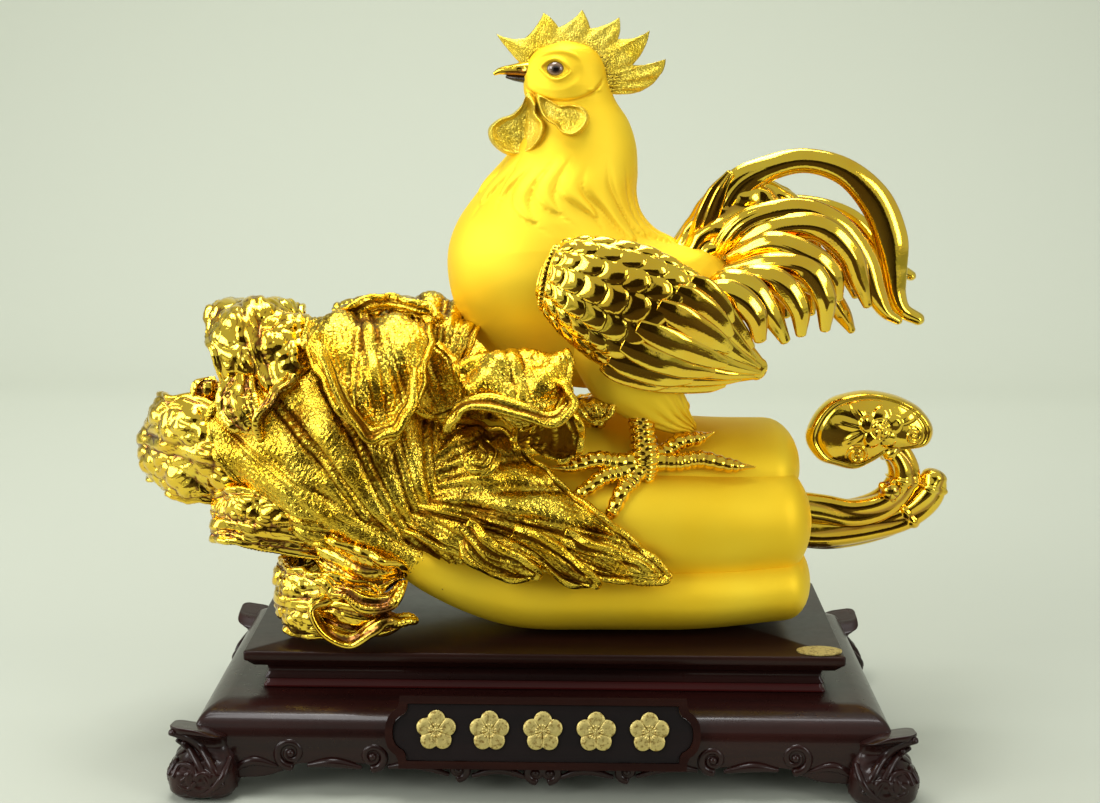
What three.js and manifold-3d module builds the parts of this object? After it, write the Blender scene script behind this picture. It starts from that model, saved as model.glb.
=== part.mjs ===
// A gilded rooster on a lying cabbage, with a ruyi sceptre, on a dark lacquered stand.
// Millimetres. +X is to the viewer's right, +Y away from the viewer, +Z up.
// The origin is the middle of the stand's footprint, on the surface that it stands on.

import * as THREE from "three";
import { mergeVertices } from "three/addons/utils/BufferGeometryUtils.js";
import Module from "manifold-3d";

const wasm = await Module();
wasm.setup();

// Driving dimensions of the stand
const glueGap = 0.3; // between two pieces that touch
const footOverhangX = 11.5; // how far the feet stand out past the body's ends
const footOverhangY = 12; // and past its front and back
const footHeight = 39.5; // top of the scroll ear above the table
const footWidth = 33;
const feltRadius = 10;
const feltThickness = 1.5;
const deckLength = 314; // flat top of the stand body
const deckDepth = 138;
const deckHeight = 44;
const bulgeX = 15; // how far the body swells out past its deck, at the ends
const bulgeY = 21; // and at the front and back
const bodyWall = 6;
const apronLow = 15; // lower edge of the carved apron
const apronDrop = 8; // how much lower it comes beside the feet
const stepLength = 282;
const stepDepth = 110;
const stepHeight = 4;
const waistOverhangX = 2; // how far the waist stands out past the step's ends
const waistOverhangY = 1.5; // and past its front and back
const waistHeight = 8.1;
const slabLength = 302;
const slabDepth = 128;
const slabThickness = 8.5;
const plaqueLength = 154;
const plaqueHeight = 35;
const plaqueThickness = 3;
const plaqueRim = 3.6;
const plaqueLean = 0.27; // radians back from upright
const panelThickness = 1.6;
const ornamentRadius = 10;
const ornamentPitch = 26;
const ornamentThickness = 1.2;
const labelLength = 23;
const labelDepth = 14;
const labelThickness = 0.6;
const screwRadius = 2.5;
const screwHeadRadius = 5;
const screwHeadHeight = 3;
const screwBite = 16; // how far a screw goes into the cabbage
const screwSpacing = 60;

// Driving dimensions of the figure, in a frame whose zero height is the top of the slab
const stalkWidth = 1; // scale of the cabbage stalks' girth
const leafThickness = 3.2;
const veinRoot = 14; // how far before a leaf's foot its veins meet
const veinWidth = 4.5; // half the width of a vein's groove
const strandCount = 10; // feathers of the neck's skirt on each side
const strandWave = 0.25; // how unevenly the feathers are spaced, as a share of one
const strandSwing = 0.15; // how far they swing back as they fall, as a share of the half turn
const skirtStage = 7; // station of the body at which the skirt begins
const skirtTip = 9; // station of the front feather's tip
const napeTip = 2; // how many stations further down the nape's feathers reach
const tipWave = 0.35; // how far the tips differ, in stations
const skirtRise = 1.2; // how far the skirt stands out from the breast
const strandRise = 1.1; // and a feather's ridge from the skirt
const strandGroove = 1.5; // depth of the groove between two feathers
const combThickness = 6;
const eyeRadius = 4.6;
const shankRadius = 5.4;
const toeRadius = 4;
const pegLength = 14;
const sickleThickness = 4.2; // half the thickness of a sickle feather
const ruyiThickness = 7; // half the thickness of the sceptre's head

// Spans and heights that follow
const footSpanX = deckLength + 2 * bulgeX + 2 * footOverhangX;
const footSpanY = deckDepth + 2 * bulgeY + 2 * footOverhangY;
const footBase = feltThickness + glueGap;
const waistLength = stepLength + 2 * waistOverhangX;
const waistDepth = stepDepth + 2 * waistOverhangY;
const stepBase = deckHeight + glueGap;
const waistBase = stepBase + stepHeight + glueGap;
const slabBase = waistBase + waistHeight + glueGap;
const slabTop = slabBase + slabThickness;

const finishes = {
  lacquer: new THREE.MeshStandardMaterial({ color: 0x1c0e0c, roughness: 0.25, metalness: 0 }),
  redLacquer: new THREE.MeshStandardMaterial({ color: 0x3a0606, roughness: 0.3, metalness: 0 }),
  panel: new THREE.MeshStandardMaterial({ color: 0x0c0808, roughness: 0.4, metalness: 0 }),
  satinGold: new THREE.MeshStandardMaterial({ color: 0xe2b21e, roughness: 0.5, metalness: 1 }),
  polishedGold: new THREE.MeshStandardMaterial({ color: 0xf0b818, roughness: 0.12, metalness: 1 }),
  leafGold: new THREE.MeshStandardMaterial({ color: 0xdca416, roughness: 0.2, metalness: 1 }),
  frostedGold: new THREE.MeshStandardMaterial({ color: 0xe8c83c, roughness: 0.45, metalness: 1 }),
  giltPaint: new THREE.MeshStandardMaterial({ color: 0xd8c040, roughness: 0.5, metalness: 0.6 }),
  darkHorn: new THREE.MeshStandardMaterial({ color: 0x2a1c12, roughness: 0.3, metalness: 0 }),
  glass: new THREE.MeshStandardMaterial({ color: 0x6a6460, roughness: 0.08, metalness: 0 }),
  felt: new THREE.MeshStandardMaterial({ color: 0x1e3a26, roughness: 0.95, metalness: 0 }),
  steel: new THREE.MeshStandardMaterial({ color: 0xa8a8a8, roughness: 0.3, metalness: 1 }),
};

const vector = (x, y, z) => new THREE.Vector3(x, y, z);

// Turns a closed geometry into a solid with its faces outwards.
function solidOf(geometry) {
  const bare = geometry.clone();
  bare.deleteAttribute("normal");
  bare.deleteAttribute("uv");
  const merged = mergeVertices(bare, 1e-4);
  const vertProperties = merged.attributes.position.array;
  const triVerts = new Uint32Array(merged.index.array);
  const solid = new wasm.Manifold(new wasm.Mesh({ numProp: 3, vertProperties, triVerts }));
  if (solid.volume() > 0) return solid;
  for (let i = 0; i < triVerts.length; i += 3) {
    [triVerts[i + 1], triVerts[i + 2]] = [triVerts[i + 2], triVerts[i + 1]];
  }
  return new wasm.Manifold(new wasm.Mesh({ numProp: 3, vertProperties, triVerts }));
}

// The geometry of a solid, with plain positions.
function geometryOf(solid) {
  const mesh = solid.getMesh();
  const positions = new Float32Array(mesh.numVert * 3);
  for (let i = 0; i < mesh.numVert; i++) {
    positions.set(mesh.vertProperties.subarray(i * mesh.numProp, i * mesh.numProp + 3), i * 3);
  }
  const geometry = new THREE.BufferGeometry();
  geometry.setAttribute("position", new THREE.BufferAttribute(positions, 3));
  geometry.setIndex(new THREE.BufferAttribute(new Uint32Array(mesh.triVerts), 1));
  return geometry;
}

// A solid whose every face has moved outwards by a margin.
function swollen(solid, margin) {
  const geometry = geometryOf(solid);
  const position = geometry.attributes.position;
  const index = geometry.index.array;
  const faceNormals = Array.from({ length: position.count }, () => []);
  for (let i = 0; i < index.length; i += 3) {
    const corners = [0, 1, 2].map((k) => new THREE.Vector3().fromBufferAttribute(position, index[i + k]));
    const normal = corners[1].clone().sub(corners[0]).cross(corners[2].clone().sub(corners[0]));
    if (normal.length() < 1e-6) continue;
    normal.normalize();
    for (const k of [0, 1, 2]) faceNormals[index[i + k]].push(normal);
  }
  faceNormals.forEach((normals, i) => {
    if (!normals.length) return;
    const mean = normals.reduce((sum, n) => sum.add(n), vector(0, 0, 0)).normalize();
    const least = Math.max(0.5, Math.min(...normals.map((n) => n.dot(mean))));
    const p = new THREE.Vector3().fromBufferAttribute(position, i).addScaledVector(mean, margin / least);
    position.setXYZ(i, p.x, p.y, p.z);
  });
  return solidOf(geometry);
}

// A closed surface through rings with the same number of points, each end closed by a fan.
function skin(rings) {
  const sides = rings[0].length;
  const middleOf = (ring) => ring.reduce((sum, p) => sum.add(p), vector(0, 0, 0)).divideScalar(sides);
  const points = [...rings.flat(), middleOf(rings[0]), middleOf(rings.at(-1))];
  const firstPole = points.length - 2;
  const lastPole = points.length - 1;
  const lastRing = (rings.length - 1) * sides;
  const faces = [];
  for (let r = 0; r < rings.length - 1; r++) {
    for (let i = 0; i < sides; i++) {
      const a = r * sides + i;
      const b = r * sides + ((i + 1) % sides);
      faces.push(a, b, b + sides, a, b + sides, a + sides);
    }
  }
  for (let i = 0; i < sides; i++) {
    const next = (i + 1) % sides;
    faces.push(firstPole, next, i, lastPole, lastRing + i, lastRing + next);
  }
  const geometry = new THREE.BufferGeometry().setFromPoints(points);
  geometry.setIndex(faces);
  return solidOf(geometry);
}

// A rounded limb along a smooth spine. A station is [x, y, z, half width across, half width along
// the bend]; across is measured in the direction of side, square to the spine.
function limb(stations, { side = vector(0, 1, 0), sides = 12, steps = 10, round = [0.6, 0.6] } = {}) {
  const spine = new THREE.CatmullRomCurve3(stations.map((s) => vector(s[0], s[1], s[2])));
  const girth = new THREE.CatmullRomCurve3(stations.map((s) => vector(s[3], s[4], 0)));
  const fullness = 1 / Math.sqrt(Math.cos(Math.PI / sides)); // a polygon as wide as its round section
  const section = (t, shrink, shift) => {
    const tangent = spine.getTangent(t);
    const across = side.clone().addScaledVector(tangent, -side.dot(tangent)).normalize();
    const along = tangent.clone().cross(across);
    const size = girth.getPoint(t);
    const centre = spine.getPoint(t).addScaledVector(tangent, shift);
    return Array.from({ length: sides }, (_, i) => {
      const angle = (2 * Math.PI * i) / sides;
      return centre
        .clone()
        .addScaledVector(across, Math.max(0.4, size.x) * fullness * shrink * Math.cos(angle))
        .addScaledVector(along, Math.max(0.4, size.y) * fullness * shrink * Math.sin(angle));
    });
  };
  const reach = (t, share) => share * Math.min(girth.getPoint(t).x, girth.getPoint(t).y);
  const start = reach(0, round[0]);
  const end = reach(1, round[1]);
  const rings = [section(0, 0.35, -start), section(0, 0.75, -0.75 * start)];
  for (let i = 0; i <= steps; i++) rings.push(section(i / steps, 1, 0));
  rings.push(section(1, 0.75, 0.75 * end), section(1, 0.35, end));
  return skin(rings);
}

// A thick leaf. Its rib runs through the given points; above and below are its half widths on the
// two sides of the rib, at stations spaced evenly along it. Side is the direction of the above
// half. The sheet turns by the roll angle between rib and edge, its edge waves, its tip is round,
// and it is crumpled into lumps that the phase shifts. Veins fan out from its foot, one in every
// fan degrees, each at the bottom of a groove.
function leaf(rib, side, above, below, shape) {
  const { roll = 0, waves = 3, waveHeight = 3, rows = 10, columns = 7 } = shape;
  const { crumple = 0, phase = 0, fan = 0, fanDepth = 0 } = shape;
  const spine = new THREE.CatmullRomCurve3(rib.map((p) => vector(...p)));
  const widths = new THREE.CatmullRomCurve3(above.map((w, i) => vector(w, below[i], 0)));
  const length = spine.getLength();
  const tipLength = Math.min(0.8 * Math.max(above.at(-1), below.at(-1)) + 3, 0.3 * length) / length;
  const reachAt = (t, v) => {
    const width = widths.getPoint(t);
    const pastTip = Math.max(0, t - 1 + tipLength) / tipLength;
    return (v > 0 ? width.x : width.y) * Math.sqrt(Math.max(0.1, 1 - pastTip * pastTip));
  };
  const lumps = (t, v) => {
    const x = t * length;
    const y = v * reachAt(t, v);
    const small = Math.sin(x / 4.2 + 2 * phase + 0.8 * Math.sin(y / 7)) * Math.cos(y / 5 + phase);
    const large = Math.sin(y / 6.5 - x / 9 + 3 * phase);
    return crumple * THREE.MathUtils.smoothstep(t, 0, 0.18) * (0.6 * small + 0.5 * large);
  };
  const grooves = (t, v) => {
    if (!fan) return 0;
    const x = t * length + veinRoot;
    const y = v * reachAt(t, v);
    const radius = Math.hypot(x, y);
    const rays = THREE.MathUtils.radToDeg(Math.atan2(Math.abs(y), x)) / fan;
    const turned = rays - 0.35 * THREE.MathUtils.smoothstep(radius, 0, 90);
    const offVein = THREE.MathUtils.degToRad(Math.abs(turned - Math.round(turned)) * fan) * radius;
    return -fanDepth * Math.max(0, 1 - offVein / veinWidth);
  };
  const place = (t, v) => {
    const tangent = spine.getTangent(t);
    const across = side.clone().addScaledVector(tangent, -side.dot(tangent)).normalize();
    const outward = across.clone().cross(tangent);
    const reach = reachAt(t, v);
    const turn = roll * v * v;
    const wave = waveHeight * v * v * Math.sin(2 * Math.PI * waves * t + (v > 0 ? 0 : 1.3));
    return spine
      .getPoint(t)
      .addScaledVector(across, reach * v * Math.cos(turn * 0.6))
      .addScaledVector(outward, reach * Math.abs(v) * Math.sin(turn * 0.6) + wave + lumps(t, v));
  };
  const step = 1e-3;
  const normalAt = (t, v) => {
    const alongRib = place(Math.min(1, t + step), v).sub(place(Math.max(0, t - step), v));
    const acrossRib = place(t, Math.min(1, v + step)).sub(place(t, Math.max(-1, v - step)));
    return alongRib.cross(acrossRib).normalize();
  };
  const points = [];
  for (const face of [0.5, -0.5]) {
    for (let r = 0; r <= rows; r++) {
      for (let c = 0; c <= columns; c++) {
        const t = r / rows;
        const v = (2 * c) / columns - 1;
        const height = face < 0 ? grooves(t, v) : 0;
        points.push(place(t, v).addScaledVector(normalAt(t, v), face * leafThickness - height));
      }
    }
  }
  const perFace = (rows + 1) * (columns + 1);
  const at = (face, r, c) => face * perFace + r * (columns + 1) + c;
  const faces = [];
  const quad = (a, b, c, d) => faces.push(a, b, c, a, c, d);
  for (let r = 0; r < rows; r++) {
    for (let c = 0; c < columns; c++) {
      quad(at(0, r, c), at(0, r, c + 1), at(0, r + 1, c + 1), at(0, r + 1, c));
      quad(at(1, r, c), at(1, r + 1, c), at(1, r + 1, c + 1), at(1, r, c + 1));
    }
  }
  const edge = [];
  for (let c = 0; c < columns; c++) edge.push([0, c]);
  for (let r = 0; r < rows; r++) edge.push([r, columns]);
  for (let c = columns; c > 0; c--) edge.push([rows, c]);
  for (let r = rows; r > 0; r--) edge.push([r, 0]);
  edge.forEach(([r, c], i) => {
    const [nextR, nextC] = edge[(i + 1) % edge.length];
    quad(at(0, r, c), at(1, r, c), at(1, nextR, nextC), at(0, nextR, nextC));
  });
  const geometry = new THREE.BufferGeometry().setFromPoints(points);
  geometry.setIndex(faces);
  return solidOf(geometry);
}

// A rectangle with rounded corners as a ring of points, with extra points along its sides.
// The height may be a function of the side's number and the place along it, from -1 to 1.
function rectangleRing(halfX, halfY, corner, height, perSide = 1) {
  const heightAt = typeof height === "function" ? height : () => height;
  const cornerSteps = 2;
  const quarters = [[1, 1], [-1, 1], [-1, -1], [1, -1]];
  const ring = [];
  quarters.forEach(([signX, signY], q) => {
    const centre = vector(signX * (halfX - corner), signY * (halfY - corner), 0);
    const arc = Array.from({ length: cornerSteps + 1 }, (_, k) => {
      const angle = ((q + k / cornerSteps) * Math.PI) / 2;
      const p = vector(corner * Math.cos(angle), corner * Math.sin(angle), 0).add(centre);
      return p.setZ(heightAt(q, 1));
    });
    ring.push(...arc);
    const [nextX, nextY] = quarters[(q + 1) % 4];
    const nextAngle = ((q + 1) * Math.PI) / 2;
    const nextStart = vector(corner * Math.cos(nextAngle), corner * Math.sin(nextAngle), 0);
    nextStart.add(vector(nextX * (halfX - corner), nextY * (halfY - corner), 0));
    for (let k = 1; k < perSide; k++) {
      const p = arc.at(-1).clone().lerp(nextStart, k / perSide);
      ring.push(p.setZ(heightAt(q, (2 * k) / perSide - 1)));
    }
  });
  return ring;
}

// A plate or moulding whose sections are [length, depth, height], from bottom to top.
const moulding = (sections, corner) =>
  skin(sections.map(([length, depth, z]) => rectangleRing(length / 2, depth / 2, corner, z)));

// An upright round bar from one height to another.
function bar(x, y, radius, low, high, sides = 10) {
  const cylinder = new THREE.CylinderGeometry(radius, radius, high - low, sides);
  cylinder.rotateX(Math.PI / 2);
  cylinder.translate(x, y, (low + high) / 2);
  return solidOf(cylinder);
}

const union = (solids) => solids.reduce((sum, s) => sum.add(s));

// Cuts the neighbours, with a glue gap, out of a solid and keeps its largest body.
function fitted(solid, neighbours) {
  const box = solid.boundingBox();
  const near = neighbours.filter((n) => {
    const other = n.boundingBox();
    return [0, 1, 2].every((k) => box.min[k] < other.max[k] + 1 && other.min[k] < box.max[k] + 1);
  });
  const cut = near.reduce((rest, n) => rest.subtract(swollen(n, glueGap)).subtract(n), solid);
  return cut.decompose().reduce((best, body) => (body.volume() > best.volume() ? body : best));
}

const statue = new THREE.Group();
const figure = new THREE.Group();
figure.position.z = slabTop;
statue.add(figure);

function addPiece(group, name, solid, finish) {
  const mesh = new THREE.Mesh(geometryOf(solid), finishes[finish]);
  mesh.name = name;
  group.add(mesh);
}

// Corner feet: a scroll foot that swells at the floor, narrows to a neck and ends in an ear.
// A section is [share of the width, inset of its outer sides, height].
function footSolid(signX, signY) {
  const sections = [
    [0.86, 3, footBase],
    [1, 0.4, footBase + 4],
    [1, 0, footBase + 12],
    [0.8, 5, footBase + 19],
    [0.62, 8.5, footBase + 26],
    [0.72, 5, footHeight - 7],
    [0.66, 2.5, footHeight - 2.5],
    [0.4, 4, footHeight],
  ];
  return skin(
    sections.map(([share, outerInset, z]) => {
      const half = (share * footWidth) / 2;
      const inset = outerInset + half;
      const centre = vector(signX * (footSpanX / 2 - inset), signY * (footSpanY / 2 - inset), 0);
      return rectangleRing(half, half, half * 0.55, z).map((p) => p.add(centre));
    }),
  );
}

const corners = [["front_left", -1, -1], ["front_right", 1, -1], ["back_left", -1, 1], ["back_right", 1, 1]];
const feet = corners.map(([, signX, signY]) => footSolid(signX, signY));
const footInset = footWidth / 2;
corners.forEach(([place, signX, signY], i) => {
  addPiece(statue, "foot_" + place, feet[i], "lacquer");
  const pad = bar(
    signX * (footSpanX / 2 - footInset),
    signY * (footSpanY / 2 - footInset),
    feltRadius,
    0,
    feltThickness,
  );
  addPiece(statue, "felt_pad_" + place, pad, "felt");
});

// Two long screws come up through the stand into the cabbage.
const screwTop = slabTop + screwBite;
const screwSeat = deckHeight - bodyWall - glueGap;
const screwSpots = [-screwSpacing / 2, screwSpacing / 2].map((offset) => offset + 45);
const screws = screwSpots.map((x) =>
  union([
    bar(x, 0, screwRadius, screwSeat - 1, screwTop, 8),
    bar(x, 0, screwHeadRadius, screwSeat - screwHeadHeight, screwSeat, 8),
  ]),
);
screws.forEach((screw, i) => addPiece(statue, "fixing_screw_" + (i + 1), screw, "steel"));

// Stand body: a hollow box with a flat deck, swelling sides and a carved lower edge.
const apronEdge = (_, place) => {
  const besideFoot = Math.max(0, Math.abs(place) - 0.72) / 0.28;
  const scallop = 2.5 * Math.abs(Math.sin(2.5 * Math.PI * place));
  return apronLow + scallop - apronDrop * Math.sqrt(besideFoot) - 2.5 * besideFoot;
};
const bodyProfile = [[0, 0], [0.32, 0.9], [0.62, 3], [0.84, 6.2], [0.96, 10.5], [1, 17], [0.98, 23]];
const apronPoints = 8;
const bodyRing = (out, height, inward = 0) =>
  rectangleRing(
    deckLength / 2 + out * bulgeX - inward,
    deckDepth / 2 + out * bulgeY - inward,
    3,
    height,
    apronPoints,
  );
const standShell = skin([
  ...bodyProfile.map(([out, drop]) => bodyRing(out, deckHeight - drop)),
  bodyRing(0.95, apronEdge),
  bodyRing(0.95, apronEdge, bodyWall),
  bodyRing(0.98, deckHeight - 17, bodyWall),
  bodyRing(0.5, deckHeight - bodyWall, bodyWall),
]);

// A sloping block on the body's front carries the plaque.
const plaqueMiddle = deckHeight - 9.5;
const plaqueFront = deckDepth / 2 + bulgeY + 1.5;
const plaqueUp = vector(0, Math.sin(plaqueLean), Math.cos(plaqueLean));
const plaqueOut = vector(0, -Math.cos(plaqueLean), Math.sin(plaqueLean));
const plaqueCentre = vector(0, -plaqueFront + 1, plaqueMiddle);
const blockHalf = plaqueLength / 2 - 12;
const blockBack = plaqueCentre.clone().addScaledVector(plaqueOut, -glueGap);
const blockTop = blockBack.clone().addScaledVector(plaqueUp, plaqueHeight / 2 - 4);
const blockLow = blockBack.clone().addScaledVector(plaqueUp, 5 - plaqueHeight / 2);
const blockOutline = new THREE.Shape([
  new THREE.Vector2(blockTop.y, blockTop.z),
  new THREE.Vector2(blockLow.y, blockLow.z),
  new THREE.Vector2(blockLow.y + 6, blockLow.z),
  new THREE.Vector2(-deckDepth / 2 - 8, deckHeight - 4),
  new THREE.Vector2(-deckDepth / 2 + 4, deckHeight - 1.5),
]);
const block = new THREE.ExtrudeGeometry(blockOutline, { depth: 2 * blockHalf, bevelEnabled: false });
block.applyMatrix4(new THREE.Matrix4().makeBasis(vector(0, 1, 0), vector(0, 0, 1), vector(1, 0, 0)));
block.translate(-blockHalf, 0, 0);
addPiece(statue, "stand_body", fitted(standShell.add(solidOf(block)), [...feet, ...screws]), "lacquer");

// Steps of the stand above its body.
const stepMoulding = moulding(
  [
    [stepLength + 3, stepDepth + 3, stepBase],
    [stepLength, stepDepth, stepBase + stepHeight * 0.6],
    [stepLength, stepDepth, stepBase + stepHeight],
  ],
  2,
);
const waistBand = moulding(
  [
    [waistLength - 2, waistDepth - 2, waistBase],
    [waistLength - 5, waistDepth - 5, waistBase + waistHeight * 0.5],
    [waistLength, waistDepth, waistBase + waistHeight],
  ],
  2,
);
const topSlab = moulding(
  [
    [slabLength - 8, slabDepth - 8, slabBase],
    [slabLength - 1, slabDepth - 1, slabBase + slabThickness * 0.4],
    [slabLength, slabDepth, slabBase + slabThickness * 0.5],
    [slabLength, slabDepth, slabTop - 0.8],
    [slabLength - 1.6, slabDepth - 1.6, slabTop],
  ],
  1.5,
);
addPiece(statue, "step_moulding", fitted(stepMoulding, screws), "redLacquer");
addPiece(statue, "waist_band", fitted(waistBand, screws), "lacquer");
addPiece(statue, "top_slab", fitted(topSlab, screws), "lacquer");

// Plaque: a rim with ogee ends round a panel that carries five gilt ornaments.
function plaqueOutline(inset) {
  const half = plaqueLength / 2 - inset;
  const high = plaqueHeight / 2 - inset;
  const endNeck = 7;
  const shape = new THREE.Shape();
  shape.moveTo(half - endNeck, high);
  for (const end of [-1, 1]) {
    const curve = (controlX, controlY, x, y) =>
      shape.quadraticCurveTo(end * controlX, end * controlY * high, end * x, end * y * high);
    shape.lineTo(end * (half - endNeck), -end * high);
    curve(half - endNeck, -0.62, half - endNeck / 2, -0.55);
    curve(half, -0.4, half, 0);
    curve(half, 0.4, half - endNeck / 2, 0.55);
    curve(half - endNeck, 0.62, half - endNeck, 1);
  }
  return shape;
}
const plaqueFrameShape = plaqueOutline(0);
plaqueFrameShape.holes.push(plaqueOutline(plaqueRim));
const plate = (shape, depth) =>
  solidOf(new THREE.ExtrudeGeometry(shape, { depth, bevelEnabled: false, curveSegments: 3 }));
const plaque = new THREE.Group();
plaque.position.copy(plaqueCentre);
plaque.rotation.x = Math.PI / 2 - plaqueLean;
statue.add(plaque);
addPiece(plaque, "plaque_frame", plate(plaqueFrameShape, plaqueThickness), "lacquer");
addPiece(plaque, "plaque_panel", plate(plaqueOutline(plaqueRim + glueGap), panelThickness), "panel");

// An ornament is a blossom with five petals.
function blossomShape(radius) {
  const petals = 5;
  const shape = new THREE.Shape();
  for (let i = 0; i <= petals * 4; i++) {
    const angle = (2 * Math.PI * i) / (petals * 4) + Math.PI / 2;
    const r = radius * (0.78 + 0.22 * Math.cos(petals * (angle - Math.PI / 2)));
    if (i === 0) shape.moveTo(r * Math.cos(angle), r * Math.sin(angle));
    else shape.lineTo(r * Math.cos(angle), r * Math.sin(angle));
  }
  return shape;
}
for (let i = 0; i < 5; i++) {
  const ornament = plate(blossomShape(ornamentRadius), ornamentThickness);
  const placed = ornament.translate([(i - 2) * ornamentPitch, 0, panelThickness + glueGap]);
  addPiece(plaque, "plaque_ornament_" + (i + 1), placed, "giltPaint");
}

// A bare oval label lies on the slab's front right corner.
const labelShape = new THREE.Shape().absellipse(0, 0, labelLength / 2, labelDepth / 2, 0, 2 * Math.PI);
const label = new THREE.ExtrudeGeometry(labelShape, {
  depth: labelThickness,
  bevelEnabled: false,
  curveSegments: 10,
});
label.translate(slabLength / 2 - labelLength / 2 - 1, -slabDepth / 2 + labelDepth / 2 + 1, glueGap);
addPiece(figure, "oval_label", solidOf(label), "giltPaint");

// Cabbage stalks: fat ribs that lie along X and thin out towards the leaves.
const girthed = (stations) => stations.map(([x, y, z, w, h]) => [x, y, z, w * stalkWidth, h * stalkWidth]);
const stalk = (stations, { sides = 12, steps = 7 } = {}) =>
  limb(girthed(stations), { sides, steps, round: [0.72, 0.6] });
const stalkFront = stalk([
  [122, -9, 26, 36, 22],
  [80, -12, 23.5, 40, 22.8],
  [30, -18, 23, 35, 22.4],
  [-15, -30, 25, 25, 20.5],
  [-50, -44, 36, 14, 14],
  [-80, -54, 54, 9, 9],
  [-115, -57, 76, 6.5, 6.5],
  [-148, -46, 100, 4, 4.5],
]);
const stalkMiddle = stalk([
  [118, -20, 59, 26, 29],
  [80, -24, 58, 28, 30],
  [35, -27, 60, 27, 28],
  [-5, -24, 68, 23, 24],
  [-45, -18, 80, 17, 18],
  [-80, -10, 95, 10, 12],
]);
const stalkUpper = stalk([
  [116, 8, 83, 40, 23],
  [80, 6, 83, 42, 23.5],
  [35, 4, 86, 40, 23],
  [-10, 2, 94, 34, 22],
  [-60, 2, 108, 24, 18],
  [-100, 4, 120, 12, 12],
]);
const stalkBack = stalk([
  [118, 24, 57, 26, 29],
  [80, 27, 56, 28, 30],
  [35, 29, 58, 26, 28],
  [-5, 27, 66, 22, 24],
  [-45, 22, 78, 16, 18],
  [-80, 14, 92, 9, 12],
], { sides: 8, steps: 5 });
const stalkBackLow = stalk([
  [122, 14, 25, 34, 21],
  [80, 17, 23.5, 36, 22.8],
  [30, 22, 23, 32, 22.4],
  [-15, 32, 25, 24, 20.5],
  [-50, 42, 36, 14, 14],
  [-85, 48, 56, 8, 9],
], { sides: 8, steps: 5 });
const heart = stalk([
  [120, 2, 54, 20, 24],
  [60, 2, 54, 24, 28],
  [0, 2, 62, 26, 28],
  [-50, 0, 84, 28, 30],
  [-95, -2, 106, 34, 36],
  [-135, -2, 112, 30, 32],
], { sides: 8, steps: 5 });

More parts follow.
